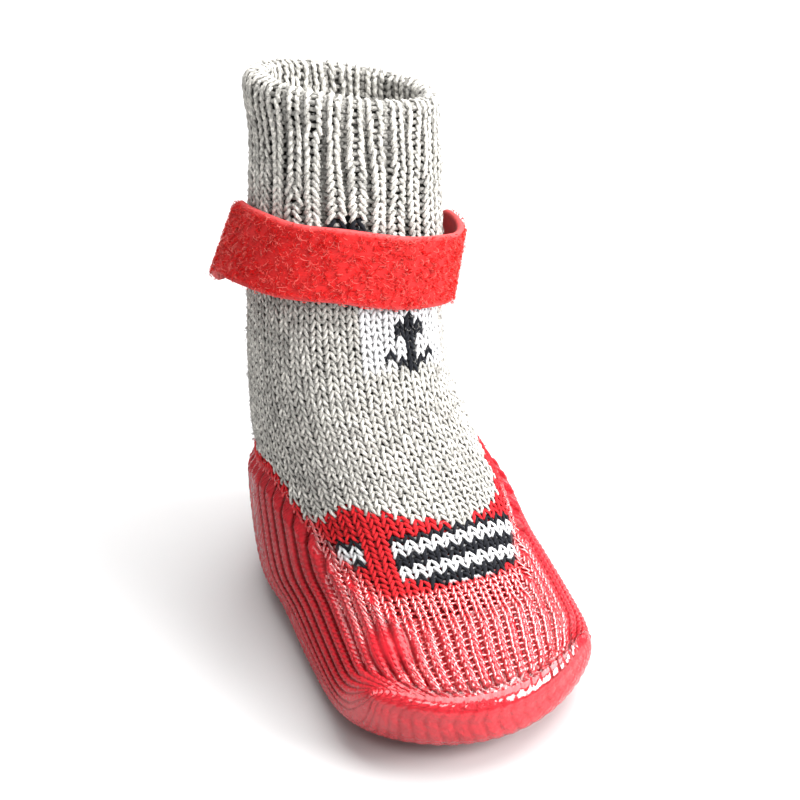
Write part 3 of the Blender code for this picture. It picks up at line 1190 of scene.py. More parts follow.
def net_faces(rows: int, columns: int, close_rows: bool, close_columns: bool) -> Array:
    """Quads of a net of points.

    Args:
        rows: how many rows the net has.
        columns: how many points a row has.
        close_rows: whether the last row joins the first.
        close_columns: whether the last column joins the first.

    Returns:
        Faces x 4 point numbers, wound to face out of the net.
    """
    i = np.arange(rows if close_rows else rows - 1)[:, None]
    j = np.arange(columns if close_columns else columns - 1)[None, :]
    n, m = (i + 1) % rows, (j + 1) % columns
    quads = np.stack(np.broadcast_arrays(i * columns + j, i * columns + m,
                                         n * columns + m, n * columns + j), axis=-1)
    return quads.reshape(-1, 4)


def cap_faces(base: int, columns: int, flip: bool, first: int = 0) -> Array:
    """Quads that close a round of points, in strips across it.

    Args:
        base: the number of the round's first point.
        columns: how many points the round has.
        flip: whether the strips face the other way.
        first: the column at the end of the round's longer way.

    Returns:
        Faces x 4 point numbers.
    """
    k = np.arange(columns // 2 - 1)
    quads = np.stack((k, k + 1, columns - k - 2, columns - k - 1), axis=-1)
    quads = base + (quads + first) % columns
    return quads if flip else quads[:, ::-1]


def closed_tube(rows: int, columns: int, inward: bool = False, first: int = 0) -> Array:
    """Quads of a tube of points, with both its ends closed.

    Args:
        rows: how many rounds the tube has.
        columns: how many points a round has.
        inward: whether the quads are wound the other way.
        first: the column at the end of the round's longer way.

    Returns:
        Faces x 4 point numbers.
    """
    sides = net_faces(rows, columns, False, True)
    return np.concatenate((sides[:, ::-1] if inward else sides,
                           cap_faces(0, columns, inward, first),
                           cap_faces((rows - 1) * columns, columns, not inward, first)))


def make_piece(name: str, points: Array, faces: Array, finish: Finish,
               values: Values | None = None,
               ends: Array | None = None) -> Object:
    """Make one object from points and quads.

    Args:
        name: the object's name.
        points: points x 3, in millimetres.
        faces: faces x 4 point numbers.
        finish: what it is made of.
        values: numbers (or colours) stored on the points, by name.
        ends: more faces, all of one other size, that close the ends of tubes.

    Returns:
        The object, linked to the scene and riding on the sock's body.
    """
    mesh = bpy.data.meshes.new(name)
    mesh.vertices.add(len(points))
    mesh.vertices.foreach_set("co", (points * MM).astype(np.float32).ravel())
    corners, starts = faces.ravel(), np.arange(0, faces.size, 4)
    if ends is not None and len(ends):
        more = faces.size + np.arange(0, ends.size, ends.shape[1])
        corners, starts = np.concatenate((corners, ends.ravel())), np.concatenate((starts, more))
    mesh.loops.add(len(corners))
    mesh.loops.foreach_set("vertex_index", corners.astype(np.int32))
    mesh.polygons.add(len(starts))
    mesh.polygons.foreach_set("loop_start", starts.astype(np.int32))
    mesh.update(calc_edges=True)
    mesh.shade_smooth()
    for key, value in (values or {}).items():
        flat = np.asarray(value, np.float32)
        if flat.ndim == 2:
            layer = mesh.attributes.new(key, "FLOAT_COLOR", "POINT")
            flat = np.concatenate((flat, np.ones((len(flat), 1), np.float32)), axis=1)
            layer.data.foreach_set("color", flat.ravel())
        else:
            layer = mesh.attributes.new(key, "FLOAT", "POINT")
            layer.data.foreach_set("value", flat)
    mesh.materials.append(finish.material())
    made = bpy.data.objects.new(name, mesh)
    bpy.context.scene.collection.objects.link(made)
    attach(made, "root")
    return made


@dataclass
class Strands:
    """Many thin tubes gathered into one mesh."""

    sides: int = 5
    flat: float = 1.0
    points: list[Array] = field(default_factory=list)
    faces: list[Array] = field(default_factory=list)
    ends: list[Array] = field(default_factory=list)
    values: dict[str, list[Array]] = field(default_factory=dict)
    count: int = 0

    def add(self, path: Array, up: Array, radius: Array | float,
            closed: bool, **values: Array) -> None:
        """Sweep tubes along many paths of one length.

        Args:
            path: tubes x points x 3, in millimetres.
            up: tubes x points x 3 vectors roughly across the paths.
            radius: the tubes' radius, one or one for each point.
            closed: whether each tube joins its own start.
            values: numbers (or colours) for each path point, by name.
        """
        tubes, length = path.shape[:2]
        if closed:
            ahead = np.roll(path, -1, axis=1) - np.roll(path, 1, axis=1)
        else:
            ahead = np.gradient(path, axis=1)
        ahead = unit(ahead)
        out = unit(up - ahead * np.sum(up * ahead, axis=-1, keepdims=True))
        side = np.cross(ahead, out)
        angle = TAU * np.arange(self.sides) / self.sides
        radius = np.broadcast_to(np.asarray(radius, float), path.shape[:2])[..., None, None]
        ring = (np.cos(angle)[:, None] * out[..., None, :] * self.flat
                + np.sin(angle)[:, None] * side[..., None, :])
        self.points.append((path[..., None, :] + ring * radius).reshape(-1, 3))
        one = net_faces(length, self.sides, closed, True)
        offset = self.count + np.arange(tubes)[:, None, None] * length * self.sides
        self.faces.append((one[None] + offset).reshape(-1, 4))
        if not closed:
            ring = np.arange(self.sides)
            self.ends += [offset[:, 0] + ring[::-1],
                          offset[:, 0] + (length - 1) * self.sides + ring]
        run = running_length(path, axis=1)
        shape = (tubes, length, self.sides)
        # The crest value, 1 on each tube's top and 0 under it, feeds the yarn's painted shade and
        # its gloss.
        for key, value in (("around", np.arange(self.sides) / self.sides),
                           ("crest", 0.5 + 0.5 * np.cos(angle))):
            self.keep(key, np.broadcast_to(value, shape).ravel())
        for key, value in {"along": run, **values}.items():
            value = np.asarray(value, float)
            if value.ndim == 3:
                spread = np.repeat(value[:, :, None, :], self.sides, axis=2)
                self.keep(key, spread.reshape(-1, 3))
            else:
                value = np.broadcast_to(value, path.shape[:2])
                self.keep(key, np.repeat(value[..., None], self.sides, axis=2).ravel())
        self.count += tubes * length * self.sides

    def keep(self, key: str, value: Array) -> None:
        """Store the next tubes' values under a name."""
        self.values.setdefault(key, []).append(value)

    def build(self, name: str, finish: Finish) -> Object:
        """Join the tubes into one object.

        Args:
            name: the object's name.
            finish: what it is made of.

        Returns:
            The object.
        """
        values = {key: np.concatenate(parts) for key, parts in self.values.items()}
        ends = np.concatenate(self.ends) if self.ends else None
        return make_piece(name, np.concatenate(self.points), np.concatenate(self.faces),
                          finish, values, ends)


class Hand(NamedTuple):
    """How uneven the knitting is, as a share of a loop or as a spread of its tone."""

    lean: float = 0.03
    course: float = 0.06
    lift: float = 0.05
    reach: float = 0.08
    tone: float = 0.12
    sway: float = 0.12


@dataclass
class KnittedSock:
    """The knitted tube: its loops of yarn and the ground that they lie on."""

    form: SockForm
    skin: Skin
    pattern: Pattern
    yarn: float = 0.40
    flat: float = 0.80
    samples: int = 10
    reach: float = 0.92
    slant: float = 0.275
    depth: float = 0.36
    sink: float = 0.60
    rib_end: float = 2.08
    rib_share: float = 0.90
    rib_slant: Range = (0.17, 0.25)
    rib_yarn: float = 0.50
    purl_sink: float = 1.0
    inside_courses: int = 8
    coated_lift: float = 1.05
    hidden_sink: float = 1.1
    pull: float = 0.26
    hand: Hand = Hand()
    piece_ends: Triple = (2.15, 4.4, 12.6)
    wale_width: float = 2.2
    course_height: float = 1.5
    ground_depth: float = 1.05
    cuff_ground_depth: float = 1.9
    # How much of its dye the ground keeps: painted shade between the loops and inside.
    grey_shade: float = 0.06
    red_shade: float = 0.25
    patch_shade: float = 0.75
    inside_shade: float = 0.60
    fuzz: int = 5200
    fuzz_radius: float = 0.035
    fuzz_end: float = 6.2
    fuzz_dye: Triple = (0.66, 0.65, 0.62)

    def rib(self, course: float) -> float:
        """How ribbed the knit is: 1 in the cuff and 0 below it."""
        end = float(self.form.course_at(self.rib_end))
        return float(1 - smooth(end - 1.0, end + 1.2, np.array(course)))

    def across(self, course: int, wales: Array, t: Array, uneven: Array) -> Pair:
        """Where the yarn lies across its wale.

        Args:
            course: its number, counted from the rim.
            wales: the wales that it passes.
            t: the angle run through each loop.
            uneven: how much each loop leans out of true.

        Returns:
            Its share across the loop, from 0 to 1, and its wale with the fraction.
        """
        ribbed = self.rib(course)
        place = self.form.place_at(course)
        toe, pulled = float(smooth(8.2, 9.2, place)), float(smooth(7.9, 8.4, place))
        rib_lean = self.rib_slant[0] + (self.rib_slant[1] - self.rib_slant[0]) * float(
            smooth(3.0, 13.0, course))
        lean = self.slant + (rib_lean - self.slant) * ribbed
        lean = lean + (self.rib_slant[0] - lean) * 0.65 * toe
        within = t / TAU + lean * np.sin(2 * t) + self.hand.lean * uneven
        within = 0.5 + (within - 0.5) * (1 - self.pull * pulled)
        purl = (wales % 2 == 1)[:, None]
        share = 0.96 + (self.rib_share - 0.96) * self.down_cuff(course)
        width = np.where(purl, 2 - 2 * share, 2 * share)
        start = np.where(purl, 2 * share - 1.0, 0.0)
        wale = wales[:, None] + (1 - ribbed) * within + ribbed * (start + width * within)
        return within, wale

    @staticmethod
    def down_cuff(course: int) -> float:
        """How far below the rim's tight first courses a course lies, from 0 to 1."""
        return float(smooth(0.0, 7.0, course))

    def looks(self, course: int, wales: Array, t: Array, rng: np.random.Generator) -> Values:
        """The dye, the marl and the tone of the yarn through one course; the tone holds painted
        shade.

        Args:
            course: its number, counted from the rim.
            wales: the wales that it passes.
            t: the angle run through each loop.
            rng: the source of the hand's unevenness.

        Returns:
            The values for each point of each loop.
        """
        ribbed = self.rib(course)
        letters = self.pattern.chart(course)[wales % self.form.stitches]
        dye = np.empty(t.shape + (3,))
        for letter, colour in DYES.items():
            dye[letters == letter] = colour.value
        tip = (letters == "t")[:, None] & (np.cos(t) > 0.3)
        dye[tip] = Dye.WHITE.value
        marl = np.broadcast_to((letters == "g")[:, None], t.shape)
        tone = ((1.0 + self.hand.tone * rng.normal(0.0, 1.0, (len(wales), 1)) * marl)
                * (1 + 0.14 * ribbed))
        # Painted shade: the yarn darkens where it dips behind the next loop, and more on the
        # sunken purl wales of the cuff.
        hollow = (wales % 2 == 1)[:, None] & (ribbed > 0.5)
        tone = tone * (0.80 - 0.30 * np.cos(2 * t)) * np.where(
            hollow, 0.88 - 0.30 * self.down_cuff(course), 1.0)
        return {"dye": dye, "marl": marl * 1.0, "tone": np.broadcast_to(tone, t.shape)}

    @staticmethod
    def wetness(place: Array, turn: Array, past: Array) -> Array:
        """How wet the yarn looks: coated on top of the toe, and a little at the sides.

        Args:
            place: how far down the sock.
            turn: how far round it.
            past: how far past the rubber's edge.

        Returns:
            The wetness, from 0 to 1.
        """
        beside = np.abs(turn_gap(turn, TOP))
        late = np.where(beside < 6.5, smooth(8.02, 8.16, place), 0.0)
        soaked = np.where(beside < 8.5, smooth(-0.6, 0.0, past), 0.4 * smooth(-0.1, 0.1, past))
        return np.maximum(soaked, late)

    def loops(self, course: int, wales: Array, rng: np.random.Generator) -> Values:
        """The path of the yarn through one course.

        Args:
            course: its number, counted from the rim.
            wales: the wales that it passes.
            rng: the source of the hand's unevenness.

        Returns:
            The path, its normals and the values stored on it.
        """
        t = TAU * (np.arange(self.samples) + 0.5) / self.samples
        t = np.broadcast_to(t, (len(wales), self.samples))
        jitter = rng.normal(0.0, 1.0, (4, len(wales), 1))
        ribbed = self.rib(course)
        within, wale = self.across(course, wales, t, jitter[0])
        begin = self.form.place_at(course + 0.0 * t)
        turn = self.form.turn_of(wale, begin)
        sway = TAU * turn / WALES
        turn = turn + (0.25 + 0.75 * ribbed) * (
            self.hand.sway * np.sin(17 * sway + 0.23 * course)
            + self.hand.sway * np.sin(5 * sway - 0.31 * course))
        station = (course - (self.reach + self.hand.reach * jitter[3]) * np.cos(t)
                   + self.hand.course * jitter[1])
        station = station + self.form.droop(begin, turn)
        place = self.form.place_at(station)
        bow = -self.depth * np.cos(2 * t)
        sink = self.purl_sink * (0.15 + 0.85 * self.down_cuff(course))
        rise = np.where((wales % 2 == 1)[:, None], -bow * 0.8 - sink,
                        bow + 0.45 * np.cos(math.pi * (within - 0.5)) - 0.10)
        lift = (1 - ribbed) * bow + ribbed * rise - self.sink + self.hand.lift * jitter[2]
        past = self.form.past_dip(place, turn)
        cover = smooth(-0.05, 0.55, past)
        hidden = smooth(0.0, 0.25, past) * (1 - self.form.showing(place, turn))
        lift = lift + self.coated_lift * cover - self.hidden_sink * hidden
        path, normals = self.skin.at(station, turn, lift)
        return {"path": path, "up": normals, **self.looks(course, wales, t, rng),
                "wet": self.wetness(place, turn, past)}

    def course_wales(self, course: int) -> tuple[Array, bool]:
        """The wales that a course passes before the rubber hides it.

        Args:
            course: which course.

        Returns:
            The wales in order, and whether they close a round.
        """
        count = self.form.stitches
        every = np.arange(count)
        place = self.form.place_at(course + np.zeros(count))
        turn = self.form.turn_of(every + 0.5, place) % WALES
        place = self.form.place_at(course + self.form.droop(place, turn))
        past = self.form.past_dip(place, turn)
        seen = (past < 0.3) | ((self.form.showing(place, turn) > 0.02) & (turn < 22.5))
        if seen.all():
            return every, True
        if not seen.any():
            return every[:0], False
        start = int(self.form.stitches * 0.6)
        order = (every + start) % count
        order = np.roll(order, -int(np.argmin(seen[order])))
        kept = np.flatnonzero(seen[order])
        return order[kept[0]:kept[-1] + 1], False

    def yarn_piece(self, name: str, first: int, last: int) -> Object:
        """Knit the courses from first up to last into one piece.

        Args:
            name: the piece's name.
            first: the first course.
            last: the course after the last.

        Returns:
            The piece.
        """
        rng = np.random.default_rng(1000 + first)
        strands = Strands(sides=5, flat=self.flat)
        for course in range(first, last):
            wales, closed = self.course_wales(course)
            if len(wales) < 2:
                continue
            wales = np.unwrap(wales.astype(float), period=self.form.stitches)
            made = self.loops(course, np.round(wales).astype(int), rng)
            flat = {key: value.reshape((1, -1) + value.shape[2:]) for key, value in made.items()}
            radius = self.yarn + (self.rib_yarn - self.yarn) * self.rib(course)
            strands.add(flat.pop("path"), flat.pop("up"), radius, closed, **flat)
        piece = strands.build(name, Finish.YARN)
        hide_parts("knit_upper")
        return piece

    def ground_rows(self, outer: float, cuff_outer: float) -> Pair:
        """Rows of the ground, from the toe up the outside, over the rim and down inside.

        Args:
            outer: how deep the ground lies under the knit's face.
            cuff_outer: how deep it lies in the ribbed cuff.

        Returns:
            The rows' points and their places, negative inside.
        """
        outside = np.linspace(0.0, LAST - 0.2, 130)
        inset = np.interp(outside, (0.0, 1.5, 1.9), (cuff_outer, cuff_outer, outer))
        face = self.form.bend(outside, self.form.rings(outside, inset))[::-1]
        inner = np.linspace(0.0, self.form.cuff_end, 14)
        near = self.form.rings(inner, self.form.cuff_wall - cuff_outer + 0.5)
        gap = np.linalg.norm(face[-1] - near[0], axis=-1).mean()
        away = unit(face[-1] - face[-3])
        fold = fold_over(face[-1], near[0], away, gap, np.linspace(0.0, math.pi, 6)[1:-1])
        deep = np.linspace(self.form.cuff_end + 0.15, LAST - 1.35, 60)
        rows = np.concatenate((face, fold, near, self.form.rings(deep, self.form.wall)))
        places = np.concatenate((outside[::-1], np.zeros(len(fold)), -inner, -deep))
        return rows, places

    def ground(self) -> Object:
        """The closed ground under the loops, with the knit's thickness.

        Returns:
            The piece.
        """
        points, places = self.ground_rows(self.ground_depth, self.cuff_ground_depth)
        points = points[:, ::4]
        count, columns = points.shape[:2]
        faces = closed_tube(count, columns, inward=True)
        turn = np.tile(np.arange(columns) * WALES / columns, count)
        place = np.repeat(places, columns)
        red = (np.abs(place) > along_line(RED_EDGE, turn))[:, None]
        dye = np.where(red, Dye.RED.value, Dye.GREY.value)
        run = running_length(points)
        # Painted shade: the ground is its dye darkened, most under the grey loops, less under the
        # red loops, the white patch and inside the sock.
        shade = np.where(place > 0.0, np.where(red[:, 0], self.red_shade, self.grey_shade),
                         self.inside_shade)
        first, last = (float(self.form.turn_of(np.array(wale), np.array(3.0)))
                       for wale in self.pattern.patch_wales)
        white = (turn > first) & (turn < last) & (place < self.pattern.patch_places[1])
        white &= place > self.pattern.patch_places[0]
        shade = np.where(white, self.patch_shade, shade)
        piece = make_piece("knit_ground", points.reshape(-1, 3), faces, Finish.GROUND,
                           {"dye": dye, "wale": turn * self.form.stitches / WALES,
                            "stitch": (run / self.course_height).ravel(), "tone": shade})
        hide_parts("knit_upper")
        return piece

    def fibres(self) -> Object:
        """Loose cotton fibres that stand off the knit.

        Returns:
            The piece.
        """
        rng = np.random.default_rng(7)
        one = (self.fuzz, 1)
        course = rng.uniform(-4.0, float(self.form.course_at(self.fuzz_end)), self.fuzz)
        turn = rng.uniform(0.0, WALES, self.fuzz)
        t = np.linspace(0.0, 1.0, 5)[None, :]
        heading = rng.uniform(0.0, TAU, one)
        curl = rng.normal(0.0, 1.6, one)
        reach = rng.uniform(0.5, 1.8, one)
        angle = heading + curl * t
        aside = np.cumsum(np.cos(angle), axis=1) / 5 * reach / self.wale_width
        down = np.cumsum(np.sin(angle), axis=1) / 5 * reach / self.course_height
        height = rng.uniform(0.15, 0.75, one)
        lift = height * np.sin(math.pi * (0.15 + 0.75 * t)) - 0.1
        path, normals = self.skin.at(course[:, None] + down, turn[:, None] + aside, lift)
        red = self.form.place_at(course) > along_line(RED_EDGE, turn)
        red &= course > 0
        dye = np.where(red[:, None, None], Dye.RED.value, self.fuzz_dye)
        dye = np.broadcast_to(dye, path.shape)
        strands = Strands(sides=3)
        strands.add(path, normals, self.fuzz_radius, False, dye=dye, marl=0.0,
                    tone=rng.uniform(0.8, 1.3, one), wet=0.0)
        piece = strands.build("knit_fibres", Finish.YARN)
        return piece

    def build(self) -> list[Object]:
        """Knit the whole sock.

        Returns:
            Its pieces.
        """
        cuff, leg, foot = (int(self.form.course_at(end)) for end in self.piece_ends)
        spans = (("yarn_cuff", -self.inside_courses, cuff), ("yarn_leg", cuff, leg),
                 ("yarn_foot", leg, foot + 1))
        pieces = [self.yarn_piece(*span) for span in spans]
        return pieces + [self.ground(), self.fibres()]


class Relief(NamedTuple):
    """The rubber's surface over its lining, one value for each point."""

    height: Array
    clear: Array
    lumps: Array


def ridge(across: Array, middle: float, half: float) -> Array:
    """A soft ridge of height 1 along a line."""
    return np.exp(-((across - middle) / half) ** 2)


@dataclass
class RubberDip:
    """The dipped rubber: a thin glossy cup that shows every wale under it."""

    form: SockForm
    columns_per_wale: int = 6
    rows: int = 240
    first_place: float = 4.9
    crest: float = 0.70
    front_crest: float = 0.16
    groove: float = 0.16
    front_groove: float = 0.26
    dent: float = 0.17
    edge_sink: float = 0.7
    window_level: float = 0.84
    taper: float = 4.0
    course: float = 1.45
    seam_height: float = 0.50
    seam_trough: float = 0.22
    seam_scale: float = 4.6
    bead: float = 0.28
    lean: float = 1.2
    top_turns: Range = (0.4, 21.4)
    leaning_turns: Range = (0.4, 25.6)
    sole_turns: Range = (27.5, 50.5)
    toe_rows: int = 14
    toe_passes: int = 24
    closing_steps: tuple[float, ...] = (0.3, 0.6, 0.85, 0.97)
    closing_relief: tuple[float, ...] = (0.9, 0.75, 0.5, 0.2)
    edge_rows: int = 36
    edge_step: int = 3
    lining_rows: int = 22
    lining_depth: float = 0.3

    def __post_init__(self) -> None:
        """Work out the lining that the skin is measured from."""
        places = np.linspace(self.first_place, LAST, 400)
        bridge = self.form.seam_bridge * np.maximum(0.0, (places - LAST + 1.5) / 1.5)
        rings = self.form.bend(places, self.form.rings(places, -self.form.rubber_gap - bridge))
        self.lining = Skin(places, rings)
        over_seam = -self.form.rubber_gap - self.form.seam_bridge
        self.closing = [self.form.rings([LAST], over_seam, close)[0]
                        for close in self.closing_steps]
        self.columns = self.form.stitches * self.columns_per_wale
        self.wale = np.arange(self.columns) / self.columns_per_wale
        self.turn = self.form.turn_of(self.wale, np.full(self.columns, 9.0)) % WALES

    def stations(self) -> Array:
        """Places of the rows between the rubber's edge and the toe, for each column.

        Returns:
            Rows x columns places.
        """
        t = np.linspace(0.0, 1.0, self.rows)[:, None]
        t = t * (1.0 + 0.25 * (1.0 - t))
        edge = along_line(DIP_EDGE, self.turn)[None, :]
        edge = edge + 0.05 * np.sin(self.wale * TAU)[None, :] * (1 - t) ** 8
        return edge + (LAST - edge) * t

    def net(self) -> tuple[Array, Array, Array]:
        """A net of points over the lining, with the rows that close the toe.

        Returns:
            The points, their normals and their places.
        """
        place = self.stations()
        points, _ = self.lining.at(place, np.broadcast_to(self.turn, place.shape))
        index = self.turn * self.form.net_columns / WALES
        low = index.astype(int) % self.form.net_columns
        high = (low + 1) % self.form.net_columns
        share = (index - np.floor(index))[:, None]
        for ring in self.closing:
            row = ring[low] * (1 - share) + ring[high] * share
            points = np.concatenate((points, row[None]))
            place = np.concatenate((place, np.full((1, self.columns), float(LAST))))
        return points, Skin(np.arange(len(points)), points).normals, place

    def side_of(self, place: Array) -> Array:
        """How far each point lies from its wale's middle: 0 there, 1 in the groove.

        Args:
            place: the place of each point.

        Returns:
            The share, with the wales leaning as they run down the front of the toe.
        """
        seam = along_line(SEAM_LINE, self.turn)
        on_top = (self.turn > self.leaning_turns[0]) & (self.turn < self.leaning_turns[1])
        down = np.where(on_top, smooth(-0.2, 1.6, place - seam) * 0.9,
                        -0.9 - 1.1 * (1 - smooth(11.2, LAST, place)))
        lean = self.lean * down * smooth(0.4, 3.5, self.turn) * (1 - smooth(
            48.5, 51.6, self.turn))
        corner = smooth(0.0, 3.0, np.abs(turn_gap(self.turn, 26.0)))
        return np.abs(((self.wale + lean * corner) % 1.0) * 2 - 1)

    def close_toe(self, outer: Array, first: int) -> Array:
        """Ease the skin over the toe's closing line, so that no crease is left.

        Args:
            outer: the points of the skin.
            first: the column at the wearer's left side.

        Returns:
            The points, with the last rows evened across the line.
        """
        half = self.toe_rows
        partner = (2 * first - np.arange(self.columns)) % self.columns
        strip = np.concatenate((outer[-half:], outer[-half:][::-1, partner]))
        for _ in range(self.toe_passes):
            strip[1:-1] = (strip[:-2] + 2 * strip[1:-1] + strip[2:]) / 4
        eased = outer.copy()
        eased[-half:] = strip[:half]
        return eased

    def past_seam(self, place: Array, turn: Array) -> Array:
        """How far past the toe seam each point lies: 0 before it and 1 on the front."""
        on_top = (turn > self.top_turns[0]) & (turn < self.top_turns[1])
        seam = along_line(SEAM_LINE, self.turn)
        return np.where(on_top, smooth(-0.10, 0.35, place - seam), smooth(9.4, 11.2, place))

    def seam_fade(self, turn: Array) -> Array:
        """How much of its height the seam ridge has at each turn."""
        on_top = (turn > self.top_turns[0]) & (turn < self.top_turns[1])
        return np.where(on_top, 1 - smooth(15.8, 20.2, turn), 0.0) * smooth(0.4, 3.0, turn)

    def relief(self, place: Array, run: Array, stitch: Array, spacing: Array) -> Relief:
        """How far the skin stands off the lining, and how its stitches show.

        Args:
            place: the place of each point.
            run: how far it lies from the rubber's edge, in millimetres.
            stitch: how many courses it lies from the toe.
            spacing: how wide a wale is there, in millimetres.

        Returns:
            The height over the lining, a clearness from 0 to 1, and the lumps.
        """
        turn = np.broadcast_to(self.turn, place.shape)
        side = self.side_of(place)
        past = self.past_seam(place, turn)
        first, last = self.sole_turns
        under = np.where((turn > first) & (turn < last),
                         smooth(0.0, 3.0, np.minimum(turn - first, last - turn)), 0.0)
        plain = 1 - smooth(3.0, 6.5, np.abs(turn_gap(turn, 1.0)))
        smear = SMEAR.share(place, turn)
        # The wales' crests, lower on the front, under the sole and under the smear.
        crest = self.crest * (1 - past) + self.front_crest * past
        crest = crest * smooth(0.5, 1.5, spacing)
        crest = crest * (1 - 0.40 * under * (1 - past)) * (1 - 0.55 * plain)
        crest = crest * (1 - 0.75 * smear)
        taper = smooth(0.0, self.taper, run)
        window = self.form.showing(place, turn)
        level = self.form.rubber_wall * (1 - window) + self.window_level * window
        height = (level + self.edge_sink) * taper - self.edge_sink
        front = smooth(11.6, 12.5, place) * past
        depth = crest * (0.25 + 0.75 * taper) * (1 + 0.9 * window) * (1 - 0.75 * front)
        uneven = 0.5 + 0.5 * np.sin(1.9 * self.wale + 2.2 * place) * np.sin(
            0.83 * self.wale - 1.3 * place)
        height = height - depth * side ** 1.8
        height = height - past * (self.groove * side ** 8 * (1 - front)
                                  + self.front_groove * side ** 5 * front * uneven)
        # The stitches' small dents.
        wave = np.sin(TAU * (stitch + 0.4 * side))
        height = height + self.dent * wave * (1 - side) * (1 - 0.7 * past) * (1 - smear) * taper
        # The seam's ridge with the trough above it, and the beads of rubber on it.
        seam = along_line(SEAM_LINE, self.turn)
        across = np.clip((place - seam) * self.seam_scale, -6, 6)
        fade = self.seam_fade(turn)
        pucker = (0.70 + 0.14 * np.sin(TAU * self.wale)
                  + 0.16 * np.sin(TAU * self.wale * 1.71 + 1.0))
        height = height + self.seam_height * fade * pucker * ridge(across, 0.0, 1.15)
        height = height - self.seam_trough * fade * ridge(across, -2.1, 0.9)
        beads = (np.sin(TAU * (1.55 * self.wale + 0.21 * stitch))
                 * np.sin(TAU * (1.05 * stitch - 0.37 * self.wale))
                 + 0.6 * np.sin(TAU * (0.93 * self.wale - 0.71 * stitch)))
        height = height + self.bead * beads * taper * (
            fade * ridge(across, -0.4, 1.7) + 0.22 * past * (1 - window))
        lumps = fade * ridge(across, -0.6, 1.9) + 0.35 * window + 0.26 * past
        clear = (1 - 0.72 * past) * (1 - 0.85 * smear) * (1 - 0.35 * under) * (1 - 0.45 * plain)
        return Relief(height, clear, lumps)

    def build(self) -> list[Object]:
        """Pour the rubber: the skin outside, the lip over its edge and the lining.

        Returns:
            Its one piece.
        """
        points, normals, place = self.net()
        run = running_length(points)
        stitch = (run[-1] - run) / self.course
        beside = np.roll(points, -1, axis=1) - np.roll(points, 1, axis=1)
        spacing = np.linalg.norm(beside, axis=-1) * self.columns_per_wale / 2
        relief = self.relief(place, run, stitch, spacing)
        fade = np.ones(len(points))
        fade[-len(self.closing_relief):] = self.closing_relief
        height = self.form.rubber_wall + (relief.height - self.form.rubber_wall) * fade[:, None]
        first = int(np.argmin(self.turn))
        outer = self.close_toe(points + normals * height[..., None], first)
        outer[..., 2] = np.maximum(outer[..., 2], 0.0)
        last = len(points) - 1
        picked = np.unique(np.concatenate((
            np.arange(0, self.edge_rows, self.edge_step),
            np.linspace(self.edge_rows, last, self.lining_rows).astype(int))))
        inset = np.minimum(0.0, height[picked] - self.lining_depth)
        inner = (points[picked] + normals[picked] * inset[..., None])[::-1]
        rows = np.concatenate((inner, outer))
        faces = closed_tube(len(rows), self.columns, first=first)
        side = self.side_of(place)
        window = self.form.showing(place, np.broadcast_to(self.turn, place.shape))
        values = {"side": side, "stitch": stitch, "relief": relief.clear, "window": window,
                  "lumps": np.minimum(relief.lumps, 1.0)}
        values = {key: np.concatenate((value[picked][::-1], value)).ravel()
                  for key, value in values.items()}
        piece = make_piece("dipped_rubber_skin", rows.reshape(-1, 3), faces,
                           Finish.RUBBER, values)
        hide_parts("rubber_sole")
        return [piece]


@dataclass
class StrapLoop:
    """Where the strap hangs: a tilted, slightly square loop round the leg."""

    centre: Triple = (-1.7, 29.6, 75.75)
    half: Range = (22.8, 22.6)
    square: float = 2.27
    slope: Range = (-0.295, -0.221)
    lean: float = 0.19
    sag: float = 6.4

    def at(self, angle: Array, height: Array | float, outset: Array | float) -> Array:
        """Points of the loop.

        Args:
            angle: degrees from the wearer's left side, round by the back.
            height: how far up the tape each point lies.
            outset: how far outside the loop's middle line.

        Returns:
            The points, in millimetres.
        """
        a = np.radians(angle)
        c, s = np.cos(a), np.sin(a)
        outset = outset - self.lean * height * np.maximum(-c, 0.0) ** 2
        x = (self.half[0] + outset) * np.sign(c) * np.abs(c) ** (2 / self.square)
        y = (self.half[1] + outset) * np.sign(s) * np.abs(s) ** (2 / self.square)
        z = (self.slope[0] * x + self.slope[1] * y
             - self.sag * smooth(0.0, 0.55, np.maximum(s, 0.0)))
        up = self.up()
        flat = np.stack(np.broadcast_arrays(x, y, z), axis=-1)
        return (np.array(self.centre) + flat
                + up * np.broadcast_to(height, flat.shape[:-1])[..., None])

    def up(self) -> Array:
        """The unit vector across the tape."""
        return unit(np.array((-self.slope[0], -self.slope[1], 1.0)))

    def outward(self, angle: Array) -> Array:
        """Unit vectors out of the tape's face."""
        ahead = self.at(angle + 0.5, 0.0, 0.0) - self.at(angle - 0.5, 0.0, 0.0)
        return unit(np.cross(ahead, self.up()))

    def even_angles(self, first: float, last: float, count: int) -> tuple[Array, float]:
        """Angles evenly spaced along the loop, and the length that they span."""
        fine = np.linspace(first, last, 1441)
        run = running_length(self.at(fine, 0.0, 0.0))
        return np.interp(np.linspace(0, run[-1], count), run, fine), float(run[-1])


def tape_section(edge: float, soft: float, count: int, top: float, bottom: float) -> Pair:
    """The section of a tape with softly rounded edges.

    Args:
        edge: how far its edges lie from its middle.
        soft: how far its flat faces reach from its middle.
        count: how many points each face has.
        top: how far out its face lies.
        bottom: how far out its back lies.

    Returns:
        The height of each point across the tape, and how far out it lies.
    """
    down, middle = np.linspace(soft, -soft, count), [(top + bottom) / 2]
    heights = np.concatenate((down, [-edge], np.linspace(-soft, soft, count), [edge]))
    sets = np.concatenate((np.full(count, top), middle, np.full(count, bottom), middle))
    return heights, sets


class Tufts(NamedTuple):
    """One kind of pile loop."""

    count: int
    reach: Range
    rise: Range
    radius: float
    # The mean share of the pale, painted sheen colour.
    pale_sheen_share: float


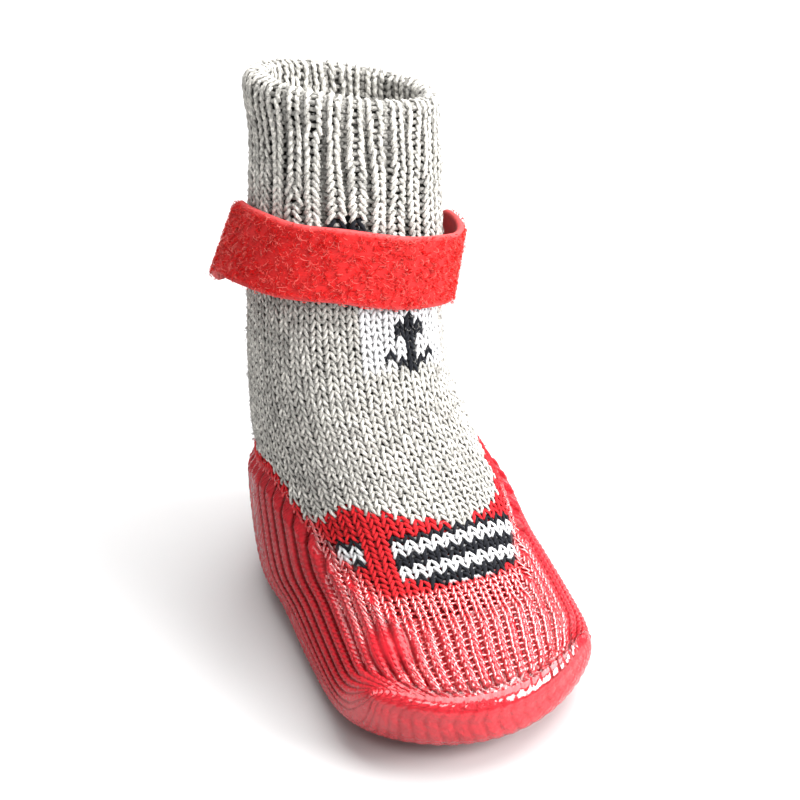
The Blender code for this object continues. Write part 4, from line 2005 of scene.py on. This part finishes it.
@dataclass
class PileStrap:
    """The loop-pile tape: a woven ground with its curled pile."""

    loop: StrapLoop
    width: float = 15.0
    inner: float = -0.9
    ground_top: float = 0.42
    edge: float = 0.35
    rounds: int = 240
    fine_rounds: int = 2000
    tufts: tuple[Tufts, ...] = (Tufts(5600, (0.5, 1.3), (0.35, 0.75), 0.062, 0.22),
                                Tufts(420, (1.2, 2.4), (0.7, 1.3), 0.034, 0.62))

    def wave(self, angle: Array) -> Array:
        """The small rise and fall of the tape's edges."""
        a = np.radians(angle)
        return 0.30 * np.sin(3 * a + 0.7) + 0.18 * np.sin(7 * a + 2.0)

    def ground(self) -> Object:
        """The woven ground of the tape, a soft flat ring.

        Returns:
            The piece.
        """
        angles, length = self.loop.even_angles(0.0, 360.0, self.rounds + 1)
        angles = angles[:-1]
        half = self.width / 2
        heights, sets = tape_section(half, half - self.edge, 21, self.ground_top, self.inner)
        grid_a = angles[:, None] + 0 * heights[None, :]
        drift = self.wave(angles)[:, None]
        points = self.loop.at(grid_a, heights[None, :] + drift, sets[None, :] + 0 * grid_a)
        edge = smooth(half - 0.75, half - 0.2, np.abs(heights))
        along = np.repeat(np.linspace(0, length, self.rounds + 1)[:-1], len(heights))
        piece = make_piece("strap_ground", points.reshape(-1, 3),
                           net_faces(len(angles), len(heights), True, True), Finish.TAPE,
                           {"along": along, "across": np.tile(heights, len(angles)),
                            "edge": np.tile(edge, len(angles))})
        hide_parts("strap_band")
        return piece

    def pile(self) -> Object:
        """The pile: thousands of small curled loops, and some pulled strays.

        Returns:
            The piece.
        """
        rng = np.random.default_rng(21)
        strands = Strands(sides=3)
        fine, _ = self.loop.even_angles(0.0, 360.0, self.fine_rounds + 1)
        half = self.width / 2
        t = np.linspace(0.0, 1.0, 5)[None, :]
        for kind in self.tufts:
            one = (kind.count, 1)
            spot = np.interp(rng.uniform(0, self.fine_rounds, kind.count),
                             np.arange(len(fine)), fine)
            height = rng.uniform(-half + 0.25, half - 0.25, kind.count)
            heading = rng.uniform(0, TAU, one) + rng.normal(0, 1.9, one) * t
            size = rng.uniform(*kind.reach, one) / 4
            ahead = np.cumsum(np.cos(heading), axis=1) * size
            up = np.cumsum(np.sin(heading), axis=1) * size
            out = self.ground_top - 0.08 + rng.uniform(*kind.rise, one) * np.sin(
                math.pi * (0.05 + 0.85 * t))
            angle = spot[:, None] + np.degrees(ahead / (sum(self.loop.half) / 2))
            level = np.clip(height[:, None] + up, -half, half) + self.wave(angle)
            path = self.loop.at(angle, level, out)
            # Each loop's share of the painted pale sheen, at random round its kind's mean.
            tone = np.clip(rng.normal(kind.pale_sheen_share, 0.22, one), 0.0, 1.0)
            strands.add(path, self.loop.outward(angle), kind.radius, False, tone=tone)
        piece = strands.build("strap_pile", Finish.PILE)
        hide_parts("strap_band")
        return piece

    def build(self) -> list[Object]:
        """Weave the strap."""
        return [self.ground(), self.pile()]


@dataclass
class HookTab:
    """The hook end of the strap, sewn round its edge, with its tip rounded."""

    loop: StrapLoop
    width: float = 15.0
    start: float = 10.0
    end: float = 92.0
    inner: float = 1.25
    outer: float = 2.70
    stitch: float = 1.25
    margin: float = 1.0
    soft: float = 0.96
    rows: int = 110
    sewn_at: tuple[float, ...] = (92.5, 97.5)

    def half_at(self, along: Array) -> Array:
        """Half the tab's width at a distance from its tip."""
        reach = np.minimum(along / (self.width / 2), 1.0)
        return self.width / 2 * np.sqrt(np.maximum(1 - (1 - reach) ** 2, 0.0))

    def tab(self) -> Object:
        """The tape of the tab, with softly rounded edges.

        Returns:
            The piece.
        """
        angles, length = self.loop.even_angles(self.start, self.end, self.rows)
        along = np.linspace(0.0, length, self.rows)
        along[0] = 0.03
        share, sets = tape_section(1.0, self.soft, 25, self.outer, self.inner)
        half = self.half_at(along)
        heights = half[:, None] * share[None, :]
        sets = np.broadcast_to(sets, heights.shape).copy()
        sets[0] = (self.inner + self.outer) / 2
        points = self.loop.at(angles[:, None] + 0 * heights, heights, sets)
        count, columns = heights.shape
        faces = closed_tube(count, columns, first=-1)
        inset = np.minimum(half[:, None] - np.abs(heights), along[:, None] + 0 * heights)
        edge = 1 - smooth(0.25, 0.7, inset)
        piece = make_piece("strap_hook_tab", points.reshape(-1, 3), faces, Finish.HOOK,
                           {"along": np.repeat(along, columns), "across": heights.ravel(),
                            "edge": edge.ravel()})
        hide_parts("strap_tab")
        return piece

    def outline(self, margin: float, step: float) -> Pair:
        """Evenly spaced (along, height) points of the tab's edge, moved in by margin.

        Args:
            margin: how far in from the edge.
            step: how far apart.

        Returns:
            The points' distances along and their heights.
        """
        _, length = self.loop.even_angles(self.start, self.end, 50)
        radius = self.width / 2 - margin
        side = np.linspace(length - 1.0, self.width / 2, 200)
        arc = np.linspace(math.pi / 2, -math.pi / 2, 120)[1:-1]
        along = np.concatenate((side, self.width / 2 - radius * np.cos(arc), side[::-1]))
        height = np.concatenate((np.full(200, radius), radius * np.sin(arc),
                                 np.full(200, -radius)))
        steps = np.hypot(np.diff(along), np.diff(height))
        run = np.concatenate(([0.0], np.cumsum(steps)))
        goal = np.arange(0.0, run[-1], step)
        return np.interp(goal, run, along), np.interp(goal, run, height)

    def sewing(self) -> Object:
        """Thread whipped over the tab's edge, and the rows that sew the strap on.

        Returns:
            The piece.
        """
        strands = Strands(sides=5)
        angles, length = self.loop.even_angles(self.start, self.end, 800)
        run = np.linspace(0.0, length, 800)
        inner_a, inner_h = self.outline(self.margin, self.stitch * 0.5)
        count = len(inner_a) // 2
        t = np.linspace(0.0, 1.0, 6)[None, :]
        a0, h0 = inner_a[0:2 * count:2, None], inner_h[0:2 * count:2, None]
        a1, h1 = inner_a[1:2 * count:2, None], inner_h[1:2 * count:2, None]
        along, height = a0 + (a1 - a0) * t * 1.5, h0 + (h1 - h0) * t * 1.5
        out = self.outer + 0.16 * np.sin(math.pi * t) + 0.0 * along
        angle = np.interp(along, run, angles)
        strands.add(self.loop.at(angle, height, out), self.loop.outward(angle), 0.13, False)
        for level in self.sewn_at:
            first = np.arange(-6.4, 6.4, 1.9)[:, None]
            height = first + 1.35 * t
            angle = np.full_like(height, level)
            out = (self.outer + 0.16 if level < self.end else 0.75) + 0.2 * np.sin(math.pi * t)
            out = out + 0.0 * height
            strands.add(self.loop.at(angle, height, out), self.loop.outward(angle), 0.17, False)
        piece = strands.build("strap_sewing", Finish.THREAD)
        return piece

    def build(self) -> list[Object]:
        """Cut and sew the hook end."""
        return [self.tab(), self.sewing()]


class Lamp(NamedTuple):
    """One soft square lamp: where it hangs, its size and its power in watts."""

    name: str
    place: Triple
    size: float
    power: float


@dataclass
class Studio:
    """The plain floor, the soft lamps and the camera, in metres and degrees."""

    azimuth: float = -20.0
    elevation: float = 33.0
    roll: float = -2.0
    distance: float = 0.65
    lens: float = 146.7
    aim: Triple = (0.0, 0.0, 0.05)
    shift: Range = (-0.006, 0.025)
    surround: float = 0.42
    lamps: tuple[Lamp, ...] = (
        Lamp("key_softbox", (0.80, -0.70, 0.60), 0.65, 25.5),
        Lamp("overhead_softbox", (0.30, 0.12, 0.95), 1.1, 23.0),
        Lamp("front_fill", (-0.22, -0.72, 0.92), 0.30, 3.0))

    def floor(self) -> Object:
        """A wide pale floor at the sole's level.

        Returns:
            The floor.
        """
        bpy.ops.mesh.primitive_grid_add(x_subdivisions=8, y_subdivisions=8, size=12.0)
        made = bpy.context.object
        made.name = "studio_floor"
        made.data.materials.append(Finish.FLOOR.material())
        return made

    def hang(self, lamp: Lamp) -> Object:
        """Hang a lamp so that it faces the sock.

        Args:
            lamp: the lamp.

        Returns:
            The lamp's object.
        """
        data = bpy.data.lights.new(lamp.name, "AREA")
        data.shape = "SQUARE"
        data.size = lamp.size
        data.energy = lamp.power
        made = bpy.data.objects.new(lamp.name, data)
        made.location = lamp.place
        aim = Vector(self.aim) - made.location
        made.rotation_euler = aim.to_track_quat("-Z", "Y").to_euler()
        bpy.context.scene.collection.objects.link(made)
        return made

    def world(self) -> None:
        """An even pale surround."""
        world = bpy.data.worlds.new("studio_surround")
        world.use_nodes = True
        shade = world.node_tree.nodes["Background"]
        shade.inputs["Color"].default_value = (1.0, 1.0, 1.0, 1.0)
        shade.inputs["Strength"].default_value = self.surround
        bpy.context.scene.world = world

    def camera(self) -> Object:
        """The camera, at its angle round the sock.

        Returns:
            The camera's object.
        """
        a, e, r = (math.radians(v) for v in (self.azimuth, self.elevation, self.roll))
        back = Vector((math.sin(a) * math.cos(e), -math.cos(a) * math.cos(e), math.sin(e)))
        right = Vector((math.cos(a), math.sin(a), 0.0))
        up = back.cross(right)
        side = right * math.cos(r) + up * math.sin(r)
        top = up * math.cos(r) - right * math.sin(r)
        data = bpy.data.cameras.new("camera")
        data.lens = self.lens
        data.sensor_width = 36.0
        data.shift_x, data.shift_y = self.shift
        data.clip_start = 0.01
        made = bpy.data.objects.new("camera", data)
        turned = Matrix((side, top, back)).transposed().to_4x4()
        turned.translation = Vector(self.aim) + back * self.distance
        made.matrix_world = turned
        bpy.context.scene.collection.objects.link(made)
        bpy.context.scene.camera = made
        return made

    def build(self) -> None:
        """Set up the studio."""
        self.camera()
        self.floor()
        for lamp in self.lamps:
            self.hang(lamp)
        self.world()
        scene = bpy.context.scene
        scene.view_settings.view_transform = "Standard"
        scene.view_settings.look = "None"


def main() -> None:
    """Build every sub-assembly in order and report its pieces."""
    logging.basicConfig(level=logging.INFO, format="%(name)s: %(message)s")
    Studio().build()
    form = SockForm()
    skin = form.knit_skin()
    loop = StrapLoop()
    assemblies = (
        KnittedSock(form, skin, Pattern(form)),
        RubberDip(form),
        PileStrap(loop),
        HookTab(loop),
    )
    for assembly in assemblies:
        for piece in assembly.build():
            LOG.info("%s: %s, %d faces", type(assembly).__name__, piece.name,
                     len(piece.data.polygons))


if __name__ == "__main__":
    main()
